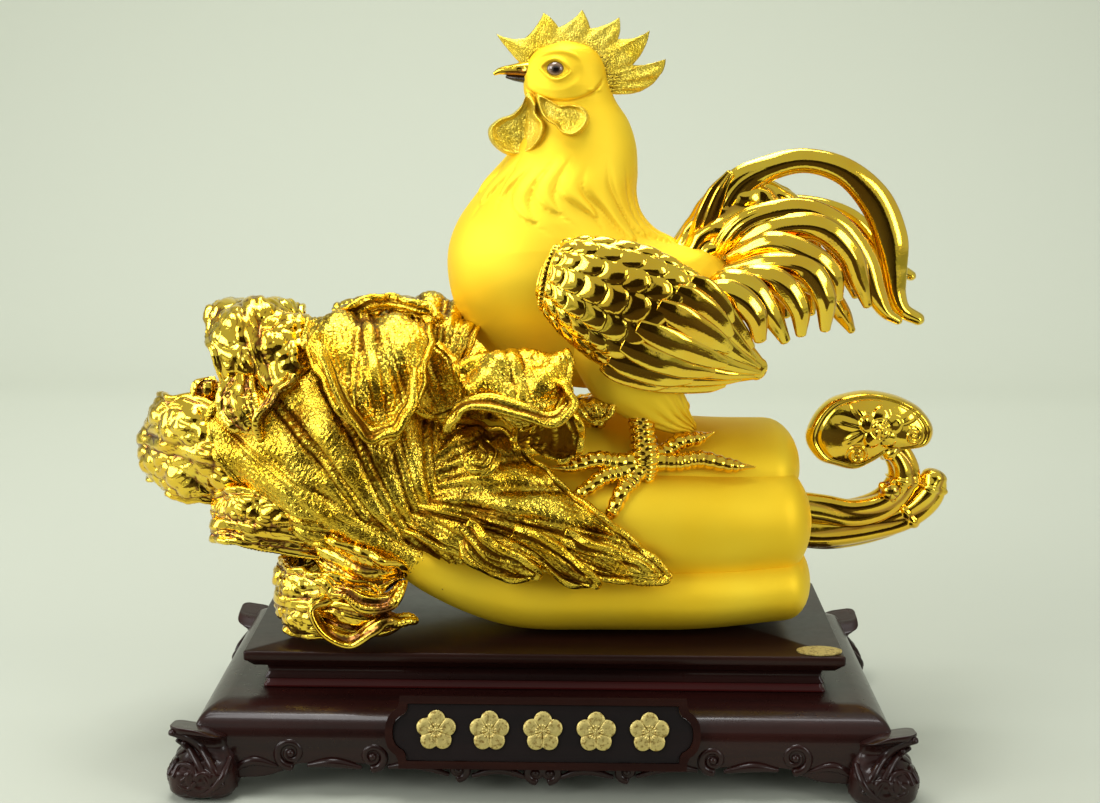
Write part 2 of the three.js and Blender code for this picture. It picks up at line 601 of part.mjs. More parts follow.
// Leaves of the cabbage, from the front round to the back.
const right = vector(1, 0, 0);
const left = vector(-1, 0, 0);
const leaves = {
  leaf_front: leaf(
    [[-45, -52, 38], [-80, -62, 60], [-115, -62, 80], [-148, -50, 102], [-170, -36, 116]],
    vector(0.55, 0, 0.84),
    [40, 74, 84, 66, 26],
    [10, 20, 26, 22, 8],
    {
      roll: -0.9, waves: 2.5, waveHeight: 4, rows: 22, columns: 14, crumple: 1.6, phase: 0,
      fan: 15, fanDepth: 2.2,
    },
  ),
  leaf_tongue: leaf(
    [[-72, -56, 76], [-40, -64, 72], [0, -67, 62], [35, -64, 50], [62, -56, 38]],
    vector(-0.3, -0.25, -1),
    [14, 22, 19, 13, 4],
    [44, 50, 30, 15, 4],
    {
      roll: -0.6, waves: 3, waveHeight: 3, rows: 15, columns: 8, crumple: 2.2, phase: 1, fan: 12,
      fanDepth: 1.2,
    },
  ),
  leaf_curl_right: leaf(
    [[-28, -16, 102], [-22, -37, 138], [-17, -53, 150], [-13, -67, 142], [-10, -71, 127], [-8, -62, 117]],
    left,
    [16, 26, 30, 28, 22, 8],
    [16, 26, 30, 28, 22, 8],
    { roll: -0.5, waves: 2, crumple: 2.6, phase: 2 },
  ),
  leaf_curl_center: leaf(
    [[-96, -12, 140], [-93, -26, 163], [-88, -46, 162], [-84, -61, 146], [-80, -69, 124], [-77, -67, 108]],
    left,
    [22, 31, 33, 29, 19, 5],
    [22, 31, 33, 29, 19, 5],
    { roll: -0.4, waves: 2, rows: 12, columns: 8, crumple: 2.6, phase: 3 },
  ),
  leaf_crown_top: leaf(
    [[-58, -34, 140], [-64, -22, 160], [-71, 0, 169], [-78, 22, 164], [-86, 36, 146]],
    right,
    [20, 34, 38, 34, 18],
    [26, 38, 42, 36, 18],
    { roll: -0.5, waves: 3, rows: 11, columns: 8, crumple: 2.4, phase: 4 },
  ),
  leaf_curl_upper_left: leaf(
    [
      [-132, -36, 112],
      [-141, -42, 136],
      [-148, -34, 158],
      [-152, -12, 169],
      [-150, 14, 160],
      [-145, 26, 142],
    ],
    right,
    [22, 30, 32, 30, 24, 10],
    [16, 22, 24, 24, 20, 9],
    { roll: -0.6, waves: 3, rows: 12, crumple: 3.2, phase: 5 },
  ),
  leaf_curl_far_left: leaf(
    [[-132, -38, 84], [-163, -40, 93], [-192, -28, 96], [-210.5, -4, 95], [-203, 20, 89], [-186, 30, 86]],
    vector(0.1, 0, 1),
    [20, 28, 29, 24, 18, 8],
    [20, 28, 29, 24, 18, 8],
    { roll: -0.6, waves: 3, rows: 12, crumple: 2.4, phase: 6 },
  ),
  leaf_curl_lower_left: leaf(
    [[-112, -50, 54], [-140, -56, 60], [-158, -52, 62], [-168, -36, 58], [-161, -20, 52]],
    vector(0.1, 0, 1),
    [15, 20, 20, 16, 8],
    [10, 11, 10, 9, 6],
    { roll: -0.6, waves: 2, rows: 9, crumple: 2.2, phase: 7 },
  ),
  leaf_curl_bottom_left: leaf(
    [[-82, -10, 66], [-112, -12, 36], [-134, -28, 24], [-132, -50, 23], [-108, -64, 23], [-78, -62, 26]],
    vector(0, 0, -1),
    [15, 19, 19, 18.5, 18, 11],
    [15, 19, 19, 18.5, 18, 11],
    { roll: -0.6, waves: 2, waveHeight: 2, rows: 12, crumple: 2.2, phase: 8 },
  ),
  leaf_curl_small: leaf(
    [[16, -10, 84], [20, -16, 106], [23, -24, 121], [25, -34, 122], [26, -39, 112]],
    left,
    [6, 9, 12, 12, 5],
    [6, 9, 12, 12, 5],
    { roll: -0.3, waves: 1, waveHeight: 1, rows: 6, columns: 4, crumple: 0.8, phase: 9 },
  ),
  leaf_back: leaf(
    [[-40, 48, 40], [-80, 58, 62], [-115, 58, 84], [-150, 48, 104], [-174, 36, 114]],
    vector(-0.55, 0, -0.84),
    [10, 20, 26, 22, 8],
    [40, 74, 84, 64, 26],
    {
      roll: -0.9, waves: 2.5, waveHeight: 4, rows: 22, columns: 14, crumple: 1.6, phase: 10,
      fan: 15, fanDepth: 2.2,
    },
  ),
  leaf_curl_back: leaf(
    [[-62, 26, 112], [-54, 40, 136], [-48, 56, 146], [-45, 70, 136], [-45, 72, 118]],
    right,
    [18, 29, 32, 27, 10],
    [18, 29, 32, 27, 10],
    { roll: -0.4, waves: 2, crumple: 2.6, phase: 11 },
  ),
};

const { smoothstep, clamp } = THREE.MathUtils;

// Rooster: one casting whose rings run from the crown of the head to the rump. A ring is an
// ellipse from the front line at [x, z] to the nape line at [x, z]; the last number is its half width.
const bodyStations = [
  [5, 301, 11, 301.5, 2.5],
  [-8, 295.5, 22, 297.5, 10],
  [-12.5, 286.5, 27.5, 290.5, 13.2],
  [-13, 277.5, 30, 280.5, 14.4],
  [-12, 270.5, 33.5, 272, 14.6],
  [-13.5, 260.5, 40.5, 261.5, 17.5],
  [-18.5, 248.5, 44.6, 248.5, 22],
  [-26.5, 237.5, 45, 236.5, 27],
  [-37, 224.5, 44, 224.5, 33],
  [-46.5, 210.5, 46.5, 214.5, 38.5],
  [-51.5, 194.5, 54, 205.5, 42.5],
  [-50, 174.5, 65, 201, 44.5],
  [-42, 155.5, 76, 199.5, 43],
  [-24, 138.5, 84, 199, 40],
  [0, 127.5, 88, 197.5, 37],
  [28, 124.5, 91, 195.5, 32],
  [52, 132.5, 94, 194.5, 25],
  [70, 147.5, 96.5, 193.5, 17],
  [84, 164.5, 98, 192.5, 10],
  [93, 180.5, 98.5, 190.5, 4],
];
const bodyFront = new THREE.CatmullRomCurve3(bodyStations.map(([x, z]) => vector(x, 0, z)));
const bodyNape = new THREE.CatmullRomCurve3(bodyStations.map(([, , x, z]) => vector(x, 0, z)));
const bodyGirth = new THREE.CatmullRomCurve3(bodyStations.map((s) => vector(s[4], 0, 0)));

// How far round the neck a line of the skirt lies, from 0 in front to 1 at the nape. The line is
// counted in feathers from the front; it swings back as it falls, from one station to the next.
function strandTurn(strand, stage) {
  let turn = strand / strandCount;
  for (let pass = 0; pass < 4; pass++) {
    const side = smoothstep(turn, 0.05, 0.35) * (1 - smoothstep(turn, 0.8, 1.05));
    const swing = strandSwing * smoothstep(stage, 7.2, 10) * side;
    turn = (strand - strandWave * Math.sin(9 * turn + 1.3 * stage)) / strandCount + swing;
  }
  return clamp(turn, 0, 1);
}

// The skirt's height: ridges at the middle of each feather and grooves between them, from where the
// feather begins to its tip.
function skirtHeight(strand, turn, stage) {
  const number = Math.min(Math.floor(strand), strandCount - 1);
  const side = 0.5 * smoothstep(turn, 0.1, 0.4) + napeTip * smoothstep(turn, 0.55, 1);
  const tip = skirtTip + side + tipWave * Math.sin(2.4 * number);
  const begin = skirtStage + 0.4 + tipWave * Math.sin(4.1 * number + 1) + 0.7 * smoothstep(turn, 0.6, 1);
  if (stage > tip) {
    return 0;
  }
  const grown = smoothstep(stage, begin, begin + 1);
  if (strand === Math.round(strand)) {
    return -strandGroove * grown;
  }
  return skirtRise * smoothstep(stage, skirtStage, skirtStage + 1.6) + strandRise * grown;
}

// The rings' places, counted in stations; they are close together over the skirt.
const bodyStages = [0, 0.7, 1.5, 2.5, 3.5, 4.5, 5.6, 6.5];
for (let step = 0; step < 13; step++) {
  bodyStages.push(skirtStage + 0.4 * step);
}
bodyStages.push(12.6, 13.5, 14.5, 15.5, 16.5, 17.5, 18.4, 19);
const bodyRings = bodyStages.map((stage) => {
  const t = stage / (bodyStations.length - 1);
  const front = bodyFront.getPoint(t);
  const nape = bodyNape.getPoint(t);
  const half = bodyGirth.getPoint(t).x;
  const middle = front.clone().add(nape).multiplyScalar(0.5);
  const arm = front.clone().sub(nape).multiplyScalar(0.5);
  const place = (strand, sign) => {
    const turn = strandTurn(strand, stage);
    const cos = Math.cos(Math.PI * turn);
    const sin = sign * Math.sin(Math.PI * turn);
    const normal = arm.clone().multiplyScalar(cos / arm.lengthSq()).add(vector(0, sin / half, 0)).normalize();
    return middle
      .clone()
      .addScaledVector(arm, cos)
      .add(vector(0, half * sin, 0))
      .addScaledVector(normal, skirtHeight(strand, turn, stage));
  };
  const ring = [];
  for (let k = 0; k < 2 * strandCount; k++) {
    ring.push(place(k / 2, 1));
  }
  for (let k = 2 * strandCount; k > 0; k--) {
    ring.push(place(k / 2, -1));
  }
  return ring;
});
const thigh = (sign) =>
  limb(
    [
      [34, sign * 24, 160, 18, 24],
      [44, sign * 28, 140, 18, 25],
      [55, sign * 28, 126, 14, 17],
      [68, sign * 27, 116, 6, 7],
    ],
    { sides: 8, steps: 4 },
  );
const roosterShape = union([skin(bodyRings), thigh(-1), thigh(1)]);

const combPoints = [
  [-27, 304.7], [-13.9, 302], [-2.9, 314.2], [5.2, 307.4], [15.6, 316.5], [20.2, 306.5], [34.2, 312.5],
  [33.9, 302.2], [48.8, 306.2], [41.6, 289.4], [58.6, 293], [53.8, 283.5], [46, 277], [31, 275], [20, 280],
  [12, 292], [0, 294], [-10, 290],
];
const combShape = new THREE.Shape(combPoints.map(([x, z]) => new THREE.Vector2(x, z)));
const combPlate = new THREE.ExtrudeGeometry(combShape, { depth: combThickness, bevelEnabled: false });
combPlate.rotateX(Math.PI / 2);
combPlate.translate(0, combThickness / 2, 0);
const comb = solidOf(combPlate);

const beakUpper = limb(
  [[-6, 0, 285, 5, 4.4], [-16, 0, 286.2, 3.8, 3.3], [-26, 0, 285.6, 1.5, 1.4]],
  { sides: 6, steps: 3 },
);
const beakLower = limb(
  [[-5, 0, 279.6, 4, 2.2], [-13, 0, 280.6, 3, 1.7], [-20, 0, 281.6, 1.3, 1]],
  { sides: 6, steps: 3 },
);

const eyeSpot = { x: 3.3, y: 11.6, z: 287.2 };
const eye = (sign) => {
  const ball = new THREE.SphereGeometry(eyeRadius, 8, 6);
  ball.scale(1, 0.55, 0.8);
  ball.translate(eyeSpot.x, sign * eyeSpot.y, eyeSpot.z);
  return solidOf(ball);
};

const wattleNear = limb(
  [[-9, -8, 273, 3, 4], [-2, -15, 268, 3, 6], [7, -20, 262.5, 3, 9.5]],
  { sides: 6, steps: 4, round: [0.5, 2.6] },
);
const wattleFar = limb(
  [[-9, -2, 272, 3.5, 5], [-13, -5, 264, 4, 10], [-17.5, -6, 255, 4, 13.5]],
  { sides: 6, steps: 4, round: [0.5, 2.4] },
);

const wing = (sign) =>
  limb(
    [
      [0, sign * 37, 187, 8, 15],
      [16, sign * 44, 183, 11, 25],
      [40, sign * 46, 173, 12.5, 31],
      [64, sign * 43, 161, 11, 29],
      [88, sign * 36, 148, 7, 17],
      [106, sign * 31, 140, 3.5, 6],
    ],
    { sides: 10, steps: 6, round: [0.6, 1.2] },
  );

// Tail: a core of plumes that sits in the body, three long sickles and the feathers that hang.
const tailBase = limb(
  [
    [70, 0, 186, 13, 13],
    [86, 0, 200, 15, 20],
    [104, 0, 208, 15, 26],
    [122, 0, 208, 12, 25],
    [136, 0, 202, 7, 16],
  ],
  { sides: 8, steps: 5 },
);
const sickle = (points, sides = 6) =>
  limb(points.map(([x, y, z, h]) => [x, y, z, sickleThickness, h]), { sides, steps: 13, round: [0.5, 1.2] });
const sickleOuter = sickle([
  [78, -4, 192, 6],
  [90, -6, 220, 9.5],
  [104, -7, 233, 10],
  [123, -7, 240.5, 7.5],
  [145, -7, 239, 7],
  [162, -7, 228, 8],
  [173, -7, 207, 9.5],
  [176.5, -7, 187, 8],
  [179, -7, 172, 5],
  [190, -7, 162, 3],
]);
const sickleInner = sickle([
  [82, -9, 196, 6],
  [98, -14, 213, 8],
  [118, -16, 221, 7],
  [138, -16, 218, 7],
  [154, -16, 204, 7.5],
  [161, -16, 187, 7],
  [166, -16, 172, 5],
  [176, -16, 163, 2.6],
]);
const sickleFar = sickle([
  [80, 6, 190, 6],
  [94, 10, 208, 7.5],
  [114, 12, 216, 7],
  [136, 12, 217, 6.5],
  [156, 12, 210, 7],
  [170, 12, 197, 6.5],
  [180, 12, 187, 4.5],
  [189, 12, 182.5, 2.6],
]);
// A hanging feather's points are [x, y, z, half width], on the side of the viewer. They arc out
// of the tail's root and hang, one behind the other.
const hangingPoints = [
  [
    [92, 12, 198, 4], [114, 18, 209, 6.2], [136, 22, 210, 6.4],
    [151, 22, 198, 6], [157, 20, 184, 5], [162, 18, 171, 2.4],
  ],
  [[92, 14, 192, 4], [112, 22, 202, 6], [131, 27, 196, 6.4], [142, 26, 187, 5.6], [146, 24, 175, 2.6]],
  [[102, 17, 192, 4], [124, 17, 186, 5], [142, 14, 176, 5], [150, 12, 166, 4.4], [155.5, 11, 157, 2]],
  [[90, 15, 186, 4], [112, 25, 192, 5.8], [129, 30, 190, 6.4], [138, 31, 177, 5.6], [139.5, 28, 160, 2.6]],
  [[88, 17, 178, 4], [100, 27, 186, 5.6], [115, 33, 184, 6.2], [125, 34, 172, 5.4], [127, 32, 158, 2.6]],
  [[80, 20, 174, 4], [88, 31, 184, 5.6], [100, 36, 182, 6.2], [110, 37, 170, 5.6], [119, 34, 155, 2.6]],
  [[70, 26, 166, 4], [78, 35, 177, 5.6], [90, 40, 179, 6.6], [102, 41, 170, 6], [106, 39, 156, 3]],
];
const featherThickness = 3.2; // half the thickness of a hanging feather
const hangingFeathers = (sign) =>
  union(
    hangingPoints.map((points) =>
      limb(
        points.map(([x, y, z, h]) => [x, sign * y, z, featherThickness, h]),
        { sides: 5, steps: 5, round: [0.5, 0.9] },
      ),
    ),
  );

// Legs: a shank with its peg in the body, toes, and a peg below that sinks into the cabbage.
function leg(ankle, knee, toes) {
  const [x, y, z] = ankle;
  const shank = limb(
    [
      [knee[0], knee[1], knee[2] + pegLength, shankRadius * 1.2, shankRadius * 1.3],
      [...knee, shankRadius * 1.1, shankRadius * 1.25],
      [(x + knee[0]) / 2, (y + knee[1]) / 2, (z + knee[2]) / 2, shankRadius, shankRadius],
      [x, y, z, shankRadius * 1.15, shankRadius * 1.15],
      [x, y, z - pegLength, shankRadius * 0.7, shankRadius * 0.7],
    ],
    { sides: 6, steps: 4 },
  );
  const spread = toes.map(([tipX, tipY, tipZ]) =>
    limb(
      [
        [x, y, z, toeRadius * 1.3, toeRadius * 1.2],
        [(x + tipX) / 2, (y + tipY) / 2, (z + tipZ) / 2 + 2.5, toeRadius, toeRadius * 1.1],
        [tipX, tipY, tipZ, toeRadius * 0.35, toeRadius * 0.4],
      ],
      { sides: 5, steps: 2, side: vector(0, 0.6, 0.8) },
    ),
  );
  return union([shank, ...spread]);
}
const legLeft = leg(
  [50, -37, 94],
  [47, -29, 122],
  [[2, -49, 92], [9, -54, 76], [29, -57, 65], [85, -26, 106], [105, -38, 91]],
);
const legRight = leg(
  [42, 24, 108],
  [43, 26, 124],
  [[6, 10, 112], [4, 26, 111], [10, 44, 97], [72, 22, 108]],
);

// Ruyi sceptre: a cloud shaped head on a bent stem with a side bud, tenoned into the cabbage.
const ruyiY = 12;
const ruyiHeadPoints = [
  [137, 95], [141, 108], [149, 116], [158, 118], [168, 122.5], [178, 119], [187, 118], [198, 112], [205, 101],
  [201, 92], [190, 90], [182, 89], [172, 83], [163, 79], [152, 81], [144, 84],
];
const ruyiOutline = new THREE.SplineCurve(ruyiHeadPoints.map(([x, z]) => new THREE.Vector2(x, z)));
const ruyiHeadPlate = new THREE.ExtrudeGeometry(new THREE.Shape(ruyiOutline.getPoints(28)), {
  depth: ruyiThickness,
  bevelEnabled: true,
  bevelThickness: ruyiThickness / 2,
  bevelSize: 3,
  bevelOffset: -3,
  bevelSegments: 1,
});
ruyiHeadPlate.rotateX(Math.PI / 2);
ruyiHeadPlate.translate(0, ruyiY + ruyiThickness / 2, 0);
const ruyiHead = solidOf(ruyiHeadPlate);
const ruyiStem = union([
  limb(
    [
      [176, ruyiY, 96, 6, 7],
      [187, ruyiY, 86, 6, 7],
      [190, ruyiY, 74, 7, 8],
      [181, ruyiY, 61, 7, 8],
      [164, ruyiY - 1, 55, 7, 8],
      [146, ruyiY - 2, 57, 7, 8],
      [124, ruyiY - 4, 60, 7, 8],
    ],
    { sides: 8, steps: 8 },
  ),
  limb(
    [
      [124, ruyiY - 4, 46, 6, 8],
      [150, ruyiY - 1, 43, 7, 8],
      [174, ruyiY, 46, 6, 7],
      [192, ruyiY, 53, 6, 7],
      [202.5, ruyiY, 64, 7, 8],
      [206.5, ruyiY, 75, 6, 7],
    ],
    { sides: 8, steps: 6, round: [0.5, 0.6] },
  ),
]);

// Every piece of the figure, in the order in which they are fitted: a piece is cut back, with the
// glue gap, by each piece set before it.
const figureScrews = screws.map((s) => s.translate([0, 0, -slabTop]));
const order = [
  ["leg_left", legLeft, "polishedGold"],
  ["leg_right", legRight, "polishedGold"],
  ["comb", comb, "frostedGold"],
  ["beak_upper", beakUpper, "polishedGold"],
  ["beak_lower", beakLower, "darkHorn"],
  ["eye_left", eye(-1), "glass"],
  ["eye_right", eye(1), "glass"],
  ["tail_base", tailBase, "polishedGold"],
  ["sickle_outer", sickleOuter, "polishedGold"],
  ["sickle_inner", sickleInner, "polishedGold"],
  ["sickle_far", sickleFar, "polishedGold"],
  ["rooster_body", roosterShape, "satinGold"],
  ["wattle_right", wattleFar, "frostedGold"],
  ["wattle_left", wattleNear, "frostedGold"],
  ["wing_left", wing(-1), "polishedGold"],
  ["wing_right", wing(1), "polishedGold"],
  ["tail_feathers_left", hangingFeathers(-1), "polishedGold"],
  ["tail_feathers_right", hangingFeathers(1), "polishedGold"],
  ["ruyi_stem", ruyiStem, "polishedGold"],
  ["ruyi_head", ruyiHead, "polishedGold"],
  ["stalk_front", stalkFront, "satinGold"],
  ["stalk_middle", stalkMiddle, "satinGold"],
  ["stalk_upper", stalkUpper, "satinGold"],
  ["stalk_back", stalkBack, "satinGold"],
  ["stalk_back_low", stalkBackLow, "satinGold"],
  ["cabbage_heart", heart, "leafGold"],
  ...Object.entries(leaves).map(([name, solid]) => [name, solid, "leafGold"]),
];
const set = [topSlab.translate([0, 0, -slabTop]), ...figureScrews];
for (const [name, solid, finish] of order) {
  addPiece(figure, name, fitted(solid, set), finish);
  set.push(solid);
}

export default statue;
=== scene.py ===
# The looks of a gilded rooster on a lying cabbage with a sceptre, on a dark lacquered stand.
# The CAD frame gives the places; the new surfaces are worked out here in millimetres.
import itertools
import math
import bpy
import numpy as np
from mathutils import Matrix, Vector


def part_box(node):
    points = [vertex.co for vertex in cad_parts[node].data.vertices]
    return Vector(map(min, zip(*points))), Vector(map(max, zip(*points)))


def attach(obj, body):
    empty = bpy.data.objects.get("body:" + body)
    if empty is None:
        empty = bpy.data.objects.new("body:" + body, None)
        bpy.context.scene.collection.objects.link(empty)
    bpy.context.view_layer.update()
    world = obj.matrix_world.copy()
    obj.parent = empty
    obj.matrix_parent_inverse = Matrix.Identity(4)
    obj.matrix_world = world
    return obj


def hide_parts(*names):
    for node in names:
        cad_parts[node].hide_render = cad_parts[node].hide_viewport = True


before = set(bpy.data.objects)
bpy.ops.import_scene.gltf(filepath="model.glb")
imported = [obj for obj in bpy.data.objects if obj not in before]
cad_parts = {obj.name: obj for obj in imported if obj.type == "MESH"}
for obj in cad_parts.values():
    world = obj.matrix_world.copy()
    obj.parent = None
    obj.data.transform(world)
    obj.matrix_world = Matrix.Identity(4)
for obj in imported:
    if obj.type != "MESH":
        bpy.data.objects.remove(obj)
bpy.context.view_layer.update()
mm = 0.001
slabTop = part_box("top_slab")[1].z / mm  # the figure's heights start here


# Curves, ramps and noise

def spline(points, t):
    # Curve through the points, shared out evenly over t: one cubic a stretch, whose end slopes weigh
    # the steps on both sides by the square root of their lengths.
    p = np.asarray(points, float)
    last = len(p) - 1
    p = np.concatenate([[2 * p[0] - p[1]], p, [2 * p[-1] - p[-2]]])
    root = np.sqrt(np.linalg.norm(np.diff(p, axis=0), axis=1))
    s = np.clip(np.asarray(t, float), 0, 1) * last
    i = np.minimum(s.astype(int), last - 1)
    f = (s - i)[..., None]
    a, b, c, d = p[i], p[i + 1], p[i + 2], p[i + 3]
    before, here, after = (root[i + k][..., None] for k in range(3))
    here = np.where(here < 0.01, 1, here)
    before = np.where(before < 0.01, here, before)
    after = np.where(after < 0.01, here, after)
    first = ((b - a) / before - (c - a) / (before + here) + (c - b) / here) * here
    final = ((c - b) / here - (d - b) / (here + after) + (d - c) / after) * here
    return b + first * f + (3 * (c - b) - 2 * first - final) * f**2 + (2 * (b - c) + first + final) * f**3


def unit(v):
    # each vector over its own length
    return v / np.maximum(np.linalg.norm(v, axis=-1, keepdims=True), 1e-9)


def ramp(low, high, x):
    # S-shaped step: 0 below low, 1 above high
    f = np.clip((x - low) / (high - low), 0, 1)
    return f * f * (3 - 2 * f)


def hump(x):
    # round-topped bump: 1 at 0, and 0 from 1 outwards
    return np.clip(1 - x * x, 0, None) ** 1.5


scatter = {"axes": (73856093, 19349663, 83492791), "seed": 15485863, "mix": 1274126177, "keep": 0x7FFFFFFF}


def lattice(cell, seed):
    # a random number from 0 to 1 for each whole-numbered cell: primes times its numbers, with bits mixed
    primes = np.array(scatter["axes"], np.int64)[: cell.shape[-1]]
    h = ((cell.astype(np.int64) * primes).sum(-1) + seed * scatter["seed"]) & scatter["keep"]
    h = ((h ^ (h >> 13)) * scatter["mix"]) & scatter["keep"]
    return ((h ^ (h >> 16)) & 0xFFFF) / 65535.0


def noise(p, seed=0):
    # smooth noise from -1 to 1: cell corners' random values, blended with S-shaped weights
    cell = np.floor(p).astype(np.int64)
    f = p - cell
    f = f * f * (3 - 2 * f)
    total = 0
    for corner in itertools.product((0, 1), repeat=p.shape[-1]):
        weight = np.prod(np.where(np.array(corner) == 1, f, 1 - f), axis=-1)
        total = total + weight * lattice(cell + np.array(corner), seed)
    return 2 * total - 1


def blisters(x, y, seed):
    # Cells of strewn points: the gap between the two nearest distances is 0 on the creases; a random
    # slope tilts each cell's top; the last value is the distance to the nearest point.
    here = np.stack([np.floor(x), np.floor(y)], -1).astype(np.int64)
    farOff = 9.0
    first, second = np.full(x.shape, farOff), np.full(x.shape, farOff)
    tilt = np.zeros(x.shape)
    for step in itertools.product((-1, 0, 1), repeat=2):
        cell = here + np.array(step)
        dx = cell[..., 0] + 0.15 + 0.7 * lattice(cell, seed) - x
        dy = cell[..., 1] + 0.15 + 0.7 * lattice(cell, seed + 1) - y
        d = np.sqrt(dx * dx + dy * dy)
        spin = 2 * np.pi * lattice(cell, seed + 2)
        tilt = np.where(d < first, dx * np.cos(spin) + dy * np.sin(spin), tilt)
        second = np.minimum(second, np.maximum(first, d))
        first = np.minimum(first, d)
    return second - first, tilt, first


# Grids: rows along a piece, columns round it

fineness = 0.7  # share of the rows and columns written below that lofts and leaves are made with
capRings = 8  # rings that close each end of a loft


def outwards(points):
    # unit normals: slope round the ring crossed with slope along the rows, turned away from the middle
    along = np.gradient(points, axis=0)
    across = (np.roll(points, -1, 1) - np.roll(points, 1, 1)) / 2
    n = unit(np.cross(across, along))
    away = (n * (points - points.mean(1, keepdims=True))).sum()
    return n if away > 0 else -n


def raised(points, height):
    # every point moved along its own normal by its height
    return points + outwards(points) * height[..., None]


def loft(stations, side=(0, 1, 0), rows=96, columns=64, ends=(0.6, 0.6), power=1.0, angles=None):
    # Rings round a curve through stations [x, y, z, half width along side, half height across it].
    # A ring is a superellipse square to the curve; the ends close on a quarter of an ellipse.
    s = np.asarray(stations, float)
    if angles is None:
        rows, columns = round(rows * fineness), round(columns * fineness)
    t = np.linspace(0, 1, rows)
    tilt = np.radians(np.linspace(84, 12, capRings))
    girth = spline(s[:, 3:5], t)
    reach = np.array(ends) * girth[[0, -1]].min(1)
    allT = np.concatenate([np.zeros(capRings), t, np.ones(capRings)])
    shrink = np.concatenate([np.cos(tilt), np.ones(rows), np.cos(tilt[::-1])])
    shift = np.concatenate([-reach[0] * np.sin(tilt), np.zeros(rows), reach[1] * np.sin(tilt[::-1])])
    step = 1e-3
    tangent = unit(spline(s[:, :3], allT + step) - spline(s[:, :3], allT - step))
    tangent[allT < step] = tangent[capRings]
    tangent[allT > 1 - step] = tangent[-capRings - 1]
    side = np.asarray(side, float)
    across = unit(side - tangent * (tangent @ side)[:, None])
    along = np.cross(tangent, across)
    a = np.linspace(0, 2 * np.pi, columns, endpoint=False) if angles is None else angles
    sideways = np.sign(np.cos(a)) * np.abs(np.cos(a)) ** power
    upwards = np.sign(np.sin(a)) * np.abs(np.sin(a)) ** power
    size = np.maximum(spline(s[:, 3:5], allT), 0.3) * shrink[:, None]
    centre = spline(s[:, :3], allT) + tangent * shift[:, None]
    points = (
        centre[:, None]
        + across[:, None] * (size[:, :1] * sideways)[..., None]
        + along[:, None] * (size[:, 1:] * upwards)[..., None]
    )
    return points, allT[:, None] + np.zeros_like(a), a[None] + np.zeros_like(allT)[:, None]


def plateGrid(middle, outline, thickness, out, rows):
    # A rounded plate from its middle to its outline, front and back. The outline is points of one
    # ring; half the thickness falls away on the outer fifth on a quarter circle.
    r = np.concatenate([np.linspace(0.02, 1, rows), np.linspace(1, 0.02, rows // 2)[1:]])
    front = np.concatenate([np.ones(rows), -np.ones(rows // 2 - 1)])
    crown = np.sqrt(np.clip(1 - np.clip((r - 0.8) / 0.2, 0, 1) ** 2, 0, 1))
    points = np.asarray(middle, float) + (outline - middle)[None] * r[:, None, None]
    return points + np.asarray(out, float) * (front * crown * thickness / 2)[:, None, None], r, front


def meshFrom(name, grids):
    # One mesh from closed grids: quads between rings, and a fan on each end ring's middle point.
    points, quads, tris, relief = [], [], [], []
    first = 0
    for grid, height in grids:
        rows, columns = grid.shape[:2]
        flat = grid.reshape(-1, 3)
        poles = np.stack([grid[0].mean(0), grid[-1].mean(0)])
        index = np.arange(rows * columns).reshape(rows, columns)
        turned = np.roll(index, -1, 1)
        faces = np.stack([index[:-1], turned[:-1], turned[1:], index[1:]], -1).reshape(-1, 4)
        start, end = rows * columns, rows * columns + 1
        fan = np.concatenate([
            np.stack([np.full(columns, start), turned[0], index[0]], -1),
            np.stack([np.full(columns, end), index[-1], turned[-1]], -1),
        ])
        cloud = np.concatenate([flat, poles])
        c = cloud - cloud.mean(0)
        both = np.concatenate([faces[:, [0, 1, 2]], faces[:, [0, 2, 3]], fan])
        volume = np.einsum("ij,ij->i", c[both[:, 0]], np.cross(c[both[:, 1]], c[both[:, 2]])).sum()
        if volume < 0:
            faces, fan = faces[:, ::-1], fan[:, ::-1]
        points.append(cloud)
        quads.append(faces + first)
        tris.append(fan + first)
        flatHeight = np.broadcast_to(height, (rows, columns))
        relief.append(np.concatenate([flatHeight.ravel(), [flatHeight[0].mean(), flatHeight[-1].mean()]]))
        first += len(cloud)
    points, quads, tris, relief = (np.concatenate(x) for x in (points, quads, tris, relief))
    mesh = bpy.data.meshes.new(name)
    mesh.vertices.add(len(points))
    mesh.vertices.foreach_set("co", (points * mm).ravel())
    mesh.loops.add(quads.size + tris.size)
    mesh.loops.foreach_set("vertex_index", np.concatenate([quads.ravel(), tris.ravel()]).astype(np.int32))
    starts = np.concatenate([np.arange(len(quads)) * 4, quads.size + np.arange(len(tris)) * 3])
    mesh.polygons.add(len(starts))
    mesh.polygons.foreach_set("loop_start", starts.astype(np.int32))
    mesh.update(calc_edges=True)
    mesh.validate()
    mesh.shade_smooth()
    # the relief attribute carries each grid's mask for painted shade to the finishes
    layer = mesh.attributes.new("relief", "FLOAT", "POINT")
    layer.data.foreach_set("value", relief.astype(np.float32))
    return mesh


def makePiece(name, grids, finish, slotName, nodes):
    # Grids in the frame's own heights become one object that stands for the CAD nodes. A grid comes
    # with its relief, the mask for painted shade: 0 in the recesses, where shade is painted, and 1 on
    # top, or is all top.
    grids = [g if isinstance(g, tuple) else (g, np.ones(g.shape[:2])) for g in grids]
    piece = bpy.data.objects.new(name, meshFrom(name, grids))
    bpy.context.scene.collection.objects.link(piece)
    piece.data.materials.append(finish)
    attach(piece, "root")
    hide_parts(*nodes)


def onFigure(points):
    # figure heights are above the slab's top
    return points + np.array([0, 0, slabTop])


# Materials

